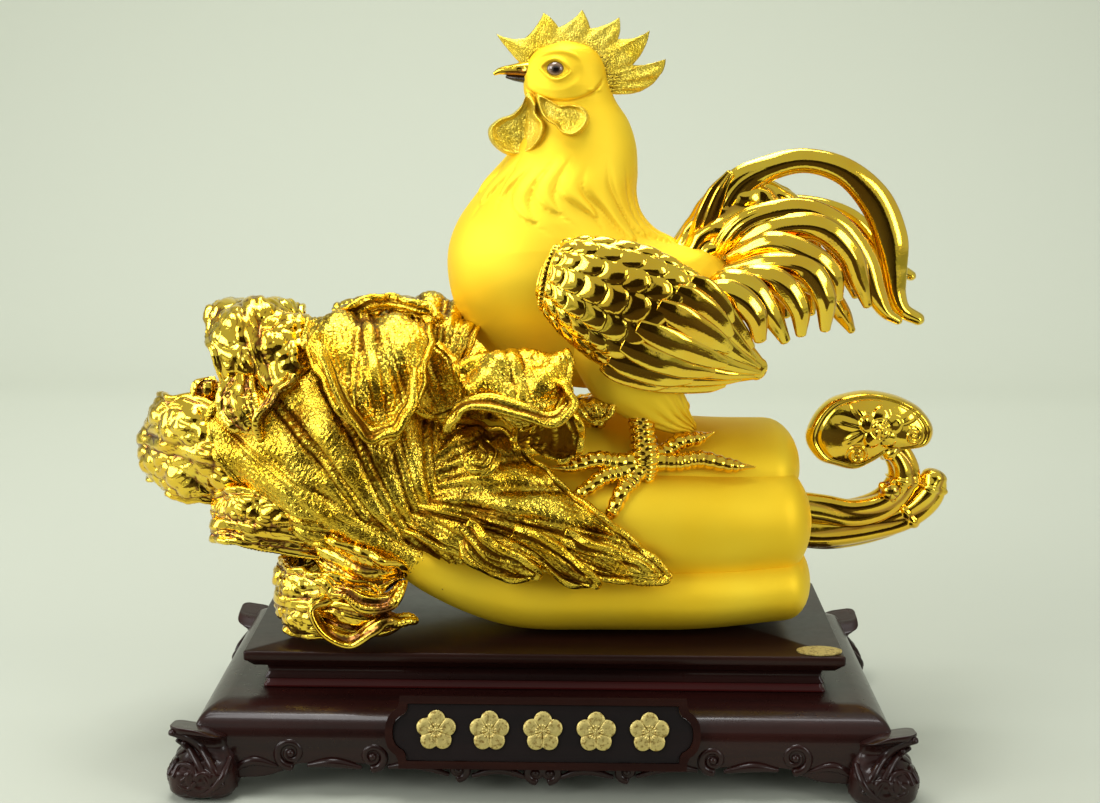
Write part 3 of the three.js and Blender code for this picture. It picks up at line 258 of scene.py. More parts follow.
class Link:
    # a node's output socket; arithmetic on it adds Math nodes
    def __init__(self, finish, socket):
        self.finish, self.socket = finish, socket

    def math(self, operation, other):
        return self.finish.node("ShaderNodeMath", {"operation": operation}, {0: self, 1: other})

    def __add__(self, other):
        return self.math("ADD", other)

    def __mul__(self, other):
        return self.math("MULTIPLY", other)

    def __rsub__(self, other):
        return self.finish.value(other).math("SUBTRACT", self)

    __radd__ = __add__
    __rmul__ = __mul__


class Finish:
    # one material: a Principled shader with constants, and the nodes that feed it
    def __init__(self, name, **constants):
        self.material = bpy.data.materials.new(name)
        self.material.use_nodes = True
        self.tree = self.material.node_tree
        self.shader = self.tree.nodes["Principled BSDF"]
        for key, value in constants.items():
            self.shader.inputs[key.replace("_", " ")].default_value = value

    def node(self, kind, settings=None, sockets=None, out=0):
        # a new node with its settings, inputs and colour stops; gives one of its outputs back
        made = self.tree.nodes.new(kind)
        for key, value in (settings or {}).items():
            if key == "stops":
                for i, (place, colour) in enumerate(value):
                    stop = made.color_ramp.elements[i] if i < 2 else made.color_ramp.elements.new(place)
                    stop.position, stop.color = place, colour
            else:
                setattr(made, key, value)
        for key, value in (sockets or {}).items():
            if isinstance(value, Link):
                self.tree.links.new(value.socket, made.inputs[key])
            else:
                made.inputs[key].default_value = value
        return Link(self, made.outputs[out])

    def value(self, number):
        # a constant as an output: the number plus 0
        return self.node("ShaderNodeMath", {"operation": "ADD"}, {0: number, 1: 0.0})

    def place(self):
        # where a point lies on its object, in metres
        return self.node("ShaderNodeTexCoord", out="Object")

    def grain(self, scale, detail=3.0, roughness=0.55, stretch=None):
        # noise from 0 to 1, scale cells to the metre; a stretch multiplies the place along each axis
        where = self.place()
        if stretch:
            where = self.node("ShaderNodeMapping", {}, {0: where, "Scale": stretch})
        sockets = {"Vector": where, "Scale": scale, "Detail": detail, "Roughness": roughness}
        return self.node("ShaderNodeTexNoise", {}, sockets, out="Fac")

    def cells(self, scale, width):
        # 0 on the creases between cells, 1 on their tops
        sockets = {"Vector": self.place(), "Scale": scale}
        edge = self.node("ShaderNodeTexVoronoi", {"feature": "DISTANCE_TO_EDGE"}, sockets)
        return self.ramp(edge, (0.0, (0, 0, 0, 1)), (width, (1, 1, 1, 1)))

    def relief(self):
        # the mesh's own relief, its mask for painted shade: 0 in the recesses and 1 on top
        return self.node("ShaderNodeAttribute", {"attribute_name": "relief"}, out="Fac")

    def ramp(self, fac, *stops):
        # colours blended in a straight line between the stops
        return self.node("ShaderNodeValToRGB", {"stops": stops}, {0: fac})

    def mix(self, fac, a, b):
        # a where the factor is 0, b where it is 1
        return self.node("ShaderNodeMix", {"data_type": "RGBA"}, {0: fac, 6: a, 7: b}, out=2)

    def feed(self, socket, value):
        # joins an output to one of the shader's inputs
        self.tree.links.new(value.socket, self.shader.inputs[socket])

    def bump(self, height, strength, distance):
        # tilts the shading by the slope of the height, which is distance metres for a step of 1
        sockets = {"Height": height, "Strength": strength, "Distance": distance}
        self.feed("Normal", self.node("ShaderNodeBump", {}, sockets))


def goldFinish(name, g):
    # Gilding: brown painted shade where the relief is low, warm to pale gold above. Fine cells,
    # where it has them, are domes with painted shade in the dark creases between them.
    f = Finish(name, Metallic=g["metal"], Coat_Weight=g["coat"], Coat_Roughness=g["coatRough"])
    tone = f.ramp(f.grain(g["cloudScale"], 2.0), (0.3, g["warm"]), (0.7, g["pale"]))
    # painted shade: brown where the relief mask is low
    low = f.ramp(f.relief(), (g["shadeStops"][0], (1, 1, 1, 1)), (g["shadeStops"][1], (0, 0, 0, 1)))
    height = f.grain(g["grainScale"], 2.0) + f.grain(g["waveScale"], 1.0) * g["wave"]
    if g["cellScale"]:
        crease = f.cells(g["cellScale"], g["cellWidth"])
        # painted shade in the creases between the cells too
        low = low.math("MAXIMUM", (1 - crease) * g["cellShade"])
        height = height + crease * g["cellHeight"]
    f.feed("Base Color", f.mix(low, tone, g["shadeBrown"]))
    f.feed("Roughness", f.grain(g["grainScale"], 2.0) * g["roughSpread"] + g["rough"] + low * g["roughLow"])
    f.bump(height, g["bump"], 0.0004)
    return f.material


# in each gold the brown colour is painted shade, full at the first relief stop and gone at the second; the
# cells' dark is painted shade in their creases
golds = {
    "polished": {
        "warm": (0.96, 0.56, 0.018, 1), "pale": (1.0, 0.71, 0.045, 1), "shadeBrown": (0.34, 0.13, 0.006, 1),
        "shadeStops": (0.0, 0.45), "cloudScale": 40, "grainScale": 900, "waveScale": 160, "wave": 2.0,
        "rough": 0.06, "roughSpread": 0.05, "roughLow": 0.2, "bump": 0.08, "cellScale": 0,
        "coat": 0.75, "coatRough": 0.05, "metal": 1.0,
    },
    "satin": {
        "warm": (0.96, 0.635, 0.016, 1), "pale": (1.0, 0.72, 0.034, 1), "shadeBrown": (0.74, 0.40, 0.008, 1),
        "shadeStops": (0.0, 0.5), "cloudScale": 18, "grainScale": 2600, "waveScale": 300, "wave": 0.6,
        "rough": 0.53, "roughSpread": 0.08, "roughLow": 0.1, "bump": 0.14, "cellScale": 0,
        "coat": 0.03, "coatRough": 0.35, "metal": 0.68,
    },
    "leaf": {
        "warm": (1.0, 0.60, 0.026, 1), "pale": (1.0, 0.74, 0.075, 1), "shadeBrown": (0.14, 0.054, 0.002, 1),
        "shadeStops": (0.0, 0.45), "cloudScale": 60, "grainScale": 1500, "waveScale": 500, "wave": 1.0,
        "rough": 0.10, "roughSpread": 0.08, "roughLow": 0.2, "bump": 0.30, "cellScale": 620,
        "cellWidth": 0.3, "cellShade": 0.45, "cellHeight": 1.1, "coat": 0.0, "coatRough": 0.1, "metal": 1.0,
    },
    "curl": {
        "warm": (0.93, 0.55, 0.022, 1), "pale": (1.0, 0.73, 0.070, 1), "shadeBrown": (0.20, 0.07, 0.004, 1),
        "shadeStops": (0.05, 0.68), "cloudScale": 45, "grainScale": 900, "waveScale": 260, "wave": 2.0,
        "rough": 0.07, "roughSpread": 0.05, "roughLow": 0.15, "bump": 0.13, "cellScale": 0,
        "coat": 0.4, "coatRough": 0.05, "metal": 1.0,
    },
    "frosted": {
        "warm": (0.95, 0.66, 0.035, 1), "pale": (1.0, 0.80, 0.11, 1), "shadeBrown": (0.16, 0.075, 0.008, 1),
        "shadeStops": (0.05, 0.5), "cloudScale": 90, "grainScale": 2200, "waveScale": 700, "wave": 1.0,
        "rough": 0.24, "roughSpread": 0.12, "roughLow": 0.1, "bump": 0.4, "cellScale": 900,
        "cellWidth": 0.25, "cellShade": 0.25, "cellHeight": 1.2, "coat": 0.1, "coatRough": 0.3, "metal": 0.85,
    },
}
polishedGold = goldFinish("polishedGold", golds["polished"])
satinGold = goldFinish("satinGold", golds["satin"])
leafGold = goldFinish("leafGold", golds["leaf"])
curlGold = goldFinish("curlGold", golds["curl"])
frostedGold = goldFinish("frostedGold", golds["frosted"])


def lacquerFinish(name, dark, light, rough, coat):
    # Brushed lacquer over dark wood: faint streaks along the length and a glassy coat.
    f = Finish(name, Coat_Weight=coat, Coat_Roughness=0.08, IOR=1.28)
    streak = f.grain(14, 4.0, 0.6, (0.6, 6.0, 9.0))
    f.feed("Base Color", f.ramp(streak, (0.35, dark), (0.75, light)))
    f.feed("Roughness", f.grain(220, 2.0) * 0.10 + rough)
    f.bump(f.grain(90, 2.0), 0.05, 0.0006)
    return f.material


lacquer = lacquerFinish("lacquer", (0.011, 0.0032, 0.0026, 1), (0.024, 0.0058, 0.0045, 1), 0.24, 0.24)
redLacquer = lacquerFinish("redLacquer", (0.030, 0.0025, 0.0022, 1), (0.050, 0.003, 0.003, 1), 0.26, 0.10)
panelLacquer = lacquerFinish("panelLacquer", (0.005, 0.003, 0.003, 1), (0.009, 0.004, 0.004, 1), 0.45, 0.0)
slabLacquer = lacquerFinish("slabLacquer", (0.012, 0.0034, 0.0024, 1), (0.024, 0.0065, 0.004, 1), 0.28, 0.05)


def paintFinish():
    # Gilt paint: a little worn in random patches, with fine brush grain.
    f = Finish("giltPaint", Metallic=0.75)
    worn = f.ramp(f.grain(700, 4.0), (0.36, (0.30, 0.20, 0.05, 1)), (0.5, (0.62, 0.50, 0.17, 1)))
    f.feed("Base Color", worn)
    f.feed("Roughness", f.grain(1200, 2.0) * 0.2 + 0.35)
    f.bump(f.grain(1600, 2.0), 0.2, 0.0003)
    return f.material


def eyeFinish():
    # Glass eye: the relief runs from the pupil's middle outwards through a grey brown iris.
    f = Finish("eyeGlass", Roughness=0.05, Coat_Weight=1.0, Coat_Roughness=0.03)
    stops = ((0.0, (0.004, 0.003, 0.003, 1)), (0.30, (0.012, 0.008, 0.007, 1)),
             (0.42, (0.08, 0.045, 0.03, 1)), (0.70, (0.24, 0.15, 0.10, 1)), (0.9, (0.05, 0.025, 0.012, 1)))
    f.feed("Base Color", f.ramp(f.relief(), *stops))
    return f.material


def feltFinish():
    # Felt: a soft matted pile.
    f = Finish("greenFelt", Roughness=0.95)
    pile = f.grain(2400, 4.0)
    f.feed("Base Color", f.ramp(pile, (0.3, (0.008, 0.022, 0.012, 1)), (0.7, (0.022, 0.05, 0.03, 1))))
    f.bump(f.grain(3000, 4.0), 0.6, 0.0004)
    return f.material


def steelFinish():
    # Zinc plated steel with a fine turned grain.
    f = Finish("zincSteel", Metallic=1.0)
    turned = f.grain(600, 3.0)
    f.feed("Base Color", f.ramp(turned, (0.3, (0.42, 0.43, 0.45, 1)), (0.7, (0.62, 0.62, 0.63, 1))))
    f.feed("Roughness", f.grain(2000, 2.0) * 0.2 + 0.22)
    return f.material


def hornFinish():
    # Dark horn: nearly black enamel with faint brown streaks along the beak.
    f = Finish("darkHorn", Coat_Weight=0.4, Coat_Roughness=0.1)
    streak = f.grain(500, 3.0, 0.6, (0.3, 1, 1))
    f.feed("Base Color", f.ramp(streak, (0.3, (0.012, 0.007, 0.004, 1)), (0.7, (0.05, 0.025, 0.010, 1))))
    f.feed("Roughness", f.grain(1500, 2.0) * 0.15 + 0.2)
    return f.material


giltPaint = paintFinish()
darkHorn = hornFinish()
eyeGlass = eyeFinish()
greenFelt = feltFinish()
zincSteel = steelFinish()
print("materials are made")


# Camera, floor and light

view = {
    "place": (0.011, -0.898, 0.358), "pitch": 11.10, "roll": 0.39, "yaw": 0.61,
    "focalPixels": 1750.0, "widthPixels": 1100.0, "sensor": 36.0,
}


def makeCamera(v):
    # The view direction comes from yaw and pitch, and the picture is then rolled about it.
    pitch, roll, yaw = (math.radians(v[k]) for k in ("pitch", "roll", "yaw"))
    right = np.array([math.cos(yaw), math.sin(yaw), 0])
    ahead = np.array([-math.sin(yaw) * math.cos(pitch), math.cos(yaw) * math.cos(pitch), -math.sin(pitch)])
    up = np.cross(right, ahead)
    sideways = math.cos(roll) * right + math.sin(roll) * up
    upright = -math.sin(roll) * right + math.cos(roll) * up
    data = bpy.data.cameras.new("camera")
    data.sensor_width = v["sensor"]
    data.lens = v["focalPixels"] / v["widthPixels"] * v["sensor"]
    data.clip_end = 50
    camera = bpy.data.objects.new("camera", data)
    bpy.context.scene.collection.objects.link(camera)
    turn = Matrix(np.stack([sideways, upright, -ahead], 1).tolist()).to_4x4()
    camera.matrix_world = Matrix.Translation(v["place"]) @ turn
    bpy.context.scene.camera = camera


room = {
    "paper": (0.535, 0.56, 0.475, 1), "floor": (0.415, 0.435, 0.37, 1), "halfWidth": 3.2, "front": -2.6,
    "bendStart": 1.0, "bendRadius": 0.5, "wallTop": 2.6, "worldTint": (0.95, 1.0, 0.90, 1), "worldLevel": 0.5,
}


def makeRoom(r):
    # A paper sweep: flat floor, a quarter circle, then a wall.
    f = Finish("paper", Roughness=0.9, Specular_IOR_Level=0.1)
    far = f.node("ShaderNodeSeparateXYZ", {}, {0: f.place()}, out=1)
    # painted shade: the paper is darker on the floor in front than up the bend and wall, to even out the
    # lamps' stronger light on the floor
    shade = f.ramp(far * 0.5 + 0.5 + f.grain(2.2, 2.0) * 0.06, (0.60, r["floor"]), (0.98, r["paper"]))
    f.feed("Base Color", shade)
    angle = np.linspace(0, np.pi / 2, 24)
    wall = r["bendStart"] + r["bendRadius"]
    ys = np.concatenate([[r["front"]], r["bendStart"] + r["bendRadius"] * np.sin(angle), [wall]])
    zs = np.concatenate([[0], r["bendRadius"] * (1 - np.cos(angle)), [r["wallTop"]]])
    left = np.stack([np.full_like(ys, -r["halfWidth"]), ys, zs], -1)
    points = np.concatenate([left, left * [-1, 1, 1]])
    n = len(ys)
    faces = [(i, i + n, i + n + 1, i + 1) for i in range(n - 1)]
    mesh = bpy.data.meshes.new("sweep")
    mesh.from_pydata(points.tolist(), [], faces)
    mesh.shade_smooth()
    mesh.materials.append(f.material)
    sweep = bpy.data.objects.new("sweep", mesh)
    bpy.context.scene.collection.objects.link(sweep)
    world = bpy.data.worlds.new("studio")
    bpy.context.scene.world = world
    world.use_nodes = True
    back = world.node_tree.nodes["Background"]
    back.inputs["Color"].default_value = r["worldTint"]
    back.inputs["Strength"].default_value = r["worldLevel"]


lamps = {  # place, target, width, height, watts
    "keyBox": ((-1.10, -0.95, 0.80), (0, 0, 0.24), 0.72, 0.72, 10.5),
    "leftBox": ((-1.35, -0.1, 0.55), (0, 0, 0.22), 0.45, 0.9, 6.4),
    "topBox": ((-0.1, 0.05, 1.5), (0, 0, 0.2), 1.1, 0.5, 15),
    "fillBox": ((1.1, -0.95, 0.6), (0, 0, 0.2), 0.3, 0.75, 5),
    "wallBox": ((0.0, 0.2, 2.2), (0, 1.5, 0.6), 1.8, 0.4, 17),
}
flags = {  # middle and half sizes of dark cloths round the camera, seen by reflections only
    "darkCloth": ((0.2, -2.1, 0.42), (0.95, 0, 0.58)),
    "floorCloth": ((0.25, -1.25, 0.003), (0.85, 0.95, 0)),
}


def aim(direction):
    # turning matrix whose -Z points along the direction
    back = -unit(np.asarray(direction, float))
    side = unit(np.cross([0, 0, 1], back))
    return np.stack([side, np.cross(back, side), back], 1)


def makeLights():
    # Each lamp is a rectangle turned to its target; each flag is one square of cloth.
    for name, (place, target, width, height, watts) in lamps.items():
        data = bpy.data.lights.new(name, "AREA")
        data.shape = "RECTANGLE"
        data.size, data.size_y, data.energy = width, height, watts
        lamp = bpy.data.objects.new(name, data)
        bpy.context.scene.collection.objects.link(lamp)
        lamp.location = place
        lamp.rotation_euler = Matrix(aim(np.subtract(target, place)).tolist()).to_euler()
        lamp.visible_camera = False
    cloth = Finish("darkBrownCloth", Roughness=0.9, Base_Color=(0.020, 0.007, 0.0015, 1)).material
    for name, (middle, half) in flags.items():
        mesh = bpy.data.meshes.new(name)
        signs = [(-1, -1, -1), (1, -1, -1), (1, 1, 1), (-1, 1, 1)]
        mesh.from_pydata([tuple(np.add(middle, np.multiply(half, s))) for s in signs], [], [(0, 1, 2, 3)])
        mesh.materials.append(cloth)
        flag = bpy.data.objects.new(name, mesh)
        bpy.context.scene.collection.objects.link(flag)
        flag.visible_camera = False
        flag.visible_shadow = False
        flag.visible_diffuse = False


makeCamera(view)
makeRoom(room)
makeLights()
bpy.context.scene.view_settings.view_transform = "Standard"
print("camera, room and lights are set")


# Rooster's body: head, neck, breast and back in one casting

body = {
    "rows": 336, "columns": 226,
    # front or belly line x, z, nape or back line x, z, half width; heights from the table
    "stations": [(5, 366.5, 11, 367, 2.5), (-8, 361, 22, 363, 10), (-12.5, 352, 27.5, 356, 13.2),
                 (-13, 343, 30, 346, 14.4), (-12, 336, 33.5, 337.5, 14.6), (-13.5, 326, 40.5, 327, 17.5),
                 (-18.5, 314, 44.6, 314, 22), (-26.5, 303, 45, 302, 27), (-37, 290, 44, 290, 33),
                 (-46.5, 276, 46.5, 280, 38.5), (-51.5, 260, 54, 271, 42.5), (-50, 240, 65, 266.5, 44.5),
                 (-42, 221, 76, 265, 43), (-24, 204, 84, 264.5, 40), (0, 193, 88, 263, 37),
                 (28, 190, 91, 261, 32), (52, 198, 94, 260, 25), (70, 213, 96.5, 259, 17),
                 (84, 230, 98, 258, 10), (93, 246, 98.5, 256, 4)],
    "eye": (3.3, 352.7), "hackleStrands": 20, "hackleDepth": 1.0, "hackleRidge": 0.9, "hackleStep": 1.1,
    "hackleShade": 0.7, "hackleSwing": 0.15, "hackleBegin": 6.4, "hackleTip": 8.0,
    "sag": 0.25, "sagLength": 22.0,
    # centre and half sizes, figure heights
    "thigh": [(30, 24, 158, 17, 23), (42, 28, 140, 17.5, 24), (54, 28, 125, 14, 17), (66, 27, 114, 7, 8),
              (72, 26, 110, 3, 3.5)],
    "thighRows": 80, "thighColumns": 100,
}


def bodyGrid(b):
    # A ring at t joins the front line, the nape line and the half width on an ellipse whose
    # plane turns from level at the head to upright at the tail.
    s = np.array(b["stations"], float)
    t = np.linspace(0, 1, b["rows"])[:, None]
    a = np.linspace(0, 2 * np.pi, b["columns"], endpoint=False)[None]
    front, nape, half = (spline(s[:, k], t)[:, 0] for k in (slice(0, 2), slice(2, 4), slice(4, 5)))
    front, nape = front[:, None], nape[:, None]
    middle, arm = (front + nape) / 2, (front - nape) / 2
    xz = middle + arm * np.cos(a)[..., None]
    y = half * np.sin(a)
    points = np.stack([xz[..., 0], y, xz[..., 1]], -1)
    return points, t + 0 * a, a + 0 * t


def hackle(t, a, b):
    # Long neck feathers: the ring is cut into strands that swing back as they fall. A strand is a soft
    # ridge with a groove on each side, narrows to its own tip, and the layer ends there in a step.
    stage = t * (len(b["stations"]) - 1)  # in stations
    turn = np.abs(np.angle(np.exp(1j * a))) / np.pi  # 0 in front, 1 at the nape
    swing = b["hackleSwing"] * ramp(7.2, 10.0, stage) * ramp(0.05, 0.35, turn) * ramp(1.05, 0.8, turn)
    strand = (turn - swing) * b["hackleStrands"] / 2 + 0.25 * np.sin(9 * turn + 1.3 * stage)
    number = np.floor(strand)
    cross = (strand - number) * 2 - 1
    tip = b["hackleTip"] + 0.7 * ramp(0.1, 0.4, turn) + 2.3 * ramp(0.55, 1.0, turn)
    tip = tip + 0.35 * np.sin(2.4 * number)
    begin = b["hackleBegin"] + 0.35 * np.sin(4.1 * number + 1) + 0.9 * ramp(0.6, 1, turn)
    width = np.clip((tip - stage) / 1.3, 0.02, 1) ** 0.6
    inside = np.clip(np.abs(cross) / width, 0, 1.4)
    grown = ramp(begin, begin + 1.4, stage)
    layer = ramp(6.2, 8.0, stage) * ramp(1.15, 0.95, inside) * ramp(0, 0.12, tip - stage)
    groove = grown * np.exp(-(((inside - 1.0) / 0.26) ** 2)) * ramp(-0.3, 0.2, tip - stage)
    ridge = grown * hump(inside * 0.75) * ramp(0, 0.6, tip - stage)
    under = -0.5 * hump((stage - tip - 0.15) / 0.4) * hump((inside - 0.4) / 1.2)
    height = b["hackleStep"] * layer + b["hackleRidge"] * ridge - b["hackleDepth"] * groove + under
    # the second value is painted shade in the grooves beside each strand
    return height, b["hackleShade"] * groove


face = {
    "lids": (6.8, 4.3), "socket": (10.5, 8.0),  # half length, half height
    # middle x, z, half length, half height
    "cheek": (6.0, 351.5, 20.5, 13.5), "brow": (4, 349, 15.0, 12.5), "ear": (22.5, 342.5, 4.5, 1.3),
}


def faceRelief(points, f, eye):
    # Almond lids, a soft ring round the eye, brow, ear and the crease under the cheek: each is a bump
    # or a groove on an oval's line, by the distance from the oval's middle in the side view.
    x, y, z = points[..., 0], np.abs(points[..., 1]), points[..., 2]
    dx, dz = x - eye[0], z - eye[1]
    lidLength, lidHeight = f["lids"]
    almond = np.sqrt((dx / lidLength) ** 2 + ((dz + 0.10 * dx) / (lidHeight - 0.04 * dx * dx + 1e-3)) ** 2)
    almond = np.where(np.abs(dx) < 8.4, almond, 3)
    ring = np.sqrt((dx / f["socket"][0]) ** 2 + (dz / f["socket"][1]) ** 2)
    sideOf = ramp(4, 8, y)
    lid = 0.75 * hump((almond - 1.2) / 0.24) - 1.2 * ramp(1.05, 0.75, almond)
    socket = -0.45 * hump((ring - 0.95) / 0.35)
    cheekX, cheekZ, cheekLength, cheekHeight = f["cheek"]
    cheek = np.sqrt(((x - cheekX) / cheekLength) ** 2 + ((z - cheekZ) / cheekHeight) ** 2)
    below = ramp(351, 344, z)
    edge = 0.7 * ramp(1.08, 0.94, cheek) * below
    crease = -0.9 * hump((cheek - 1.07) / 0.06) * below
    browX, browZ, browLength, browHeight = f["brow"]
    browLine = np.hypot((x - browX) / browLength, (z - browZ) / browHeight) - 1.0
    brow = 0.8 * hump(browLine / 0.12) * ramp(356, 361, z)
    earX, earZ, earLength, earHeight = f["ear"]
    ear = 0.8 * hump(np.hypot((x - earX) / earLength, (z - earZ) / earHeight))
    # painted shade along the lids' line and in the crease under the cheek
    low = np.clip(hump((almond - 0.98) / 0.14) + 0.9 * hump((cheek - 1.07) / 0.05) * below, 0, 1)
    return sideOf * (lid + socket + edge + crease + brow + ear), sideOf * low


def makeBody(b, f):
    # The thighs are swollen lofts whose lower part hangs in seven pairs of folds.
    points, t, a = bodyGrid(b)
    feathers, featherDark = hackle(t, a, b)
    lids, lidDark = faceRelief(points, f, b["eye"])
    grid = raised(points, feathers + lids + b["sag"] * noise(points / b["sagLength"], 2))
    # the relief paints shade in the neck feathers' grooves, along the lids and in the cheek's crease
    relief = 1 - np.clip(featherDark + lidDark, 0, 1)
    thighs = []
    for sign in (-1, 1):
        stations = [(x, sign * y, z, across, down) for x, y, z, across, down in b["thigh"]]
        p, t, a = loft(stations, rows=b["thighRows"], columns=b["thighColumns"], ends=(0.6, 1.0))
        drape = np.sin(7 * a + 1.4 * t + 0.8 * noise(p / 14, 4))
        loose = ramp(0.30, 0.75, t) * ramp(1.15, 0.95, t)
        p = raised(p, loose * (1.3 * np.abs(drape) ** 0.7 - 0.6))
        p = p + np.array([0.6, 0, -1]) * (3.0 * ramp(0.45, 0.95, t) * (np.abs(drape) - 0.6))[..., None]
        # painted shade in the troughs between the thighs' folds
        thighs.append((onFigure(p), 1 - 0.8 * loose * (1 - np.abs(drape)) ** 3))
    makePiece("rooster_casting", [(grid, relief)] + thighs, satinGold, "satin_gold", ["rooster_body"])


makeBody(body, face)
print("body is made")


# Comb, beak, eyes and wattles

comb = {
    "halfThickness": 3.0, "perStretch": 18, "rootToEdge": 36, "pebble": 1.7,
    # outline x, z and the root point x, z that it grows from, with the outline's bow to the next
    "pairs": [(-13.5, 354, -9, 353.5, 0.6), (-27, 370.0, -10, 358, -1.2), (-12.6, 367.6, -8, 361, -1.0),
              (-3.1, 380.4, -2, 363, 0.6), (4.5, 373.2, 4, 364, -1.0), (16.2, 382.0, 10, 364, 0.4),
              (20.6, 372.8, 14, 363, -1.0), (34.9, 378.4, 18, 360, 0.8), (34.4, 367.8, 20, 357, -1.6),
              (50.2, 372.0, 22, 353, 1.6), (42.0, 355.0, 23.5, 350, -1.2), (58.5, 358.0, 24, 347, 0.8),
              (55.6, 349.6, 25, 345, 0.6), (48.6, 343, 26, 343, 0.8), (38, 340.5, 28, 342, 0.3),
              (30.5, 340.6, 29, 342, 0)],
}


def makeComb(c):
    # Each stretch of outline is a line with a bow; the plate thins from root to edge.
    pairs = np.array(c["pairs"], float)
    top, root = [], []
    for a, b in zip(pairs[:-1], pairs[1:]):
        f = np.linspace(0, 1, c["perStretch"], endpoint=False)[:, None]
        across = np.array([-(b[1] - a[1]), b[0] - a[0]])
        across = across / np.linalg.norm(across)
        top.append(a[:2] + (b[:2] - a[:2]) * f + across * a[4] * 4 * f * (1 - f))
        root.append(a[2:4] + (b[2:4] - a[2:4]) * f)
    top, root = np.concatenate(top), np.concatenate(root)
    steps = c["rootToEdge"]
    v = np.concatenate([np.linspace(0, 1, steps), np.linspace(1, 0, steps)])
    sideOf = np.concatenate([-np.ones(steps), np.ones(steps)])
    xz = root[:, None] + (top - root)[:, None] * v[None, :, None]
    thick = c["halfThickness"] * (1 - 0.45 * v) * np.sqrt(np.clip(1 - v**10, 0, 1))
    y = np.broadcast_to(sideOf * thick, xz.shape[:2])
    points = np.stack([xz[..., 0], y, xz[..., 1]], -1)
    gap = blisters(points[..., 0] / c["pebble"], points[..., 2] / c["pebble"], 21)[0]
    pebble = ramp(0.02, 0.4, gap)
    rough = ramp(0.62, 0.25, v)[None] * ramp(12, 28, points[..., 0])
    flutes = 0.4 * np.sin(np.linspace(0, 90, len(points)))[:, None] * ramp(0.3, 0.8, v) * ramp(1, 0.85, v)
    grid = raised(points, 0.5 * rough * (pebble - 0.5) + flutes + 0.15 * noise(points / 2.2, 9))
    # painted shade in the creases between the pebbles towards the root and the back; the outermost edge is
    # painted darker
    dark = np.clip(rough * (1 - pebble) * 1.1 + ramp(0.955, 1.0, v)[None] * 0.9, 0, 1)
    makePiece("comb_casting", [(grid, 1 - dark)], frostedGold, "frosted_gold", ["comb"])


beak = {
    "upper": [(-4, 0, 351.8, 6.2, 5.4), (-12, 0, 352.2, 4.8, 4.2), (-19, 0, 352.0, 3.2, 2.9),
              (-25, 0, 351.4, 1.8, 1.8), (-27.6, 0, 350.2, 0.9, 1.0)],
    "lower": [(-4, 0, 346.6, 5.2, 2.6), (-11, 0, 347.2, 4.0, 2.0), (-17, 0, 347.9, 2.6, 1.5),
              (-21.5, 0, 348.6, 1.0, 0.8)],
    "nostril": (-14, 352.6, 2.6, 0.9),  # place x, z, half length, half height
}


def makeBeak(b):
    # Two horn blades: the upper one hooks over, with a nostril and a dark underside; the lower one is
    # a flat spoon.
    upper, t, a = loft(b["upper"], rows=70, columns=60, ends=(0.3, 0.9), power=0.9)
    x, z, halfLength, halfHeight = b["nostril"]
    nostril = np.sqrt(((upper[..., 0] - x) / halfLength) ** 2 + ((upper[..., 2] - z) / halfHeight) ** 2)
    upper = raised(upper, -0.7 * hump(np.clip(nostril, 0, 1)))
    lower = loft(b["lower"], rows=50, columns=48, ends=(0.3, 0.8))[0]
    # painted shade in the nostril; the underside, back from the tip, is painted dark brown
    dark = ramp(-0.15, 0.35, np.sin(a)) * ramp(-25, -20, upper[..., 0])
    relief = 1 - np.clip(hump(np.clip(nostril, 0, 1)) + 1.6 * dark, 0, 1)
    makePiece("beak_top", [(upper, relief)], polishedGold, "polished_gold", ["beak_upper"])
    makePiece("beak_bottom", [lower], darkHorn, "dark_horn", ["beak_lower"])


eyes = {"halfLength": 4.6, "halfHeight": 3.9, "halfDepth": 3.0, "out": 10.6}


def makeEyes(e, middle):
    # A flattened ball set in the socket; its relief is the distance from the pupil's middle, and 1 on
    # the half inside the head.
    eyeX, eyeZ = middle
    lat = np.radians(np.linspace(2, 178, 40))[:, None]
    lon = np.linspace(0, 2 * np.pi, 48, endpoint=False)[None]
    x = eyeX + e["halfLength"] * np.sin(lat) * np.cos(lon)
    z = eyeZ + e["halfHeight"] * np.sin(lat) * np.sin(lon)
    away = np.broadcast_to(np.where(np.cos(lat) < 0, 1, np.sin(lat)), x.shape)
    for sign, word in ((-1, "left"), (1, "right")):
        y = np.broadcast_to(sign * (e["out"] + e["halfDepth"] * np.cos(lat)), x.shape)
        grid = np.stack([x, y, z], -1)
        makePiece("eye_ball_" + word, [(grid, away)], eyeGlass, "glass", ["eye_" + word])


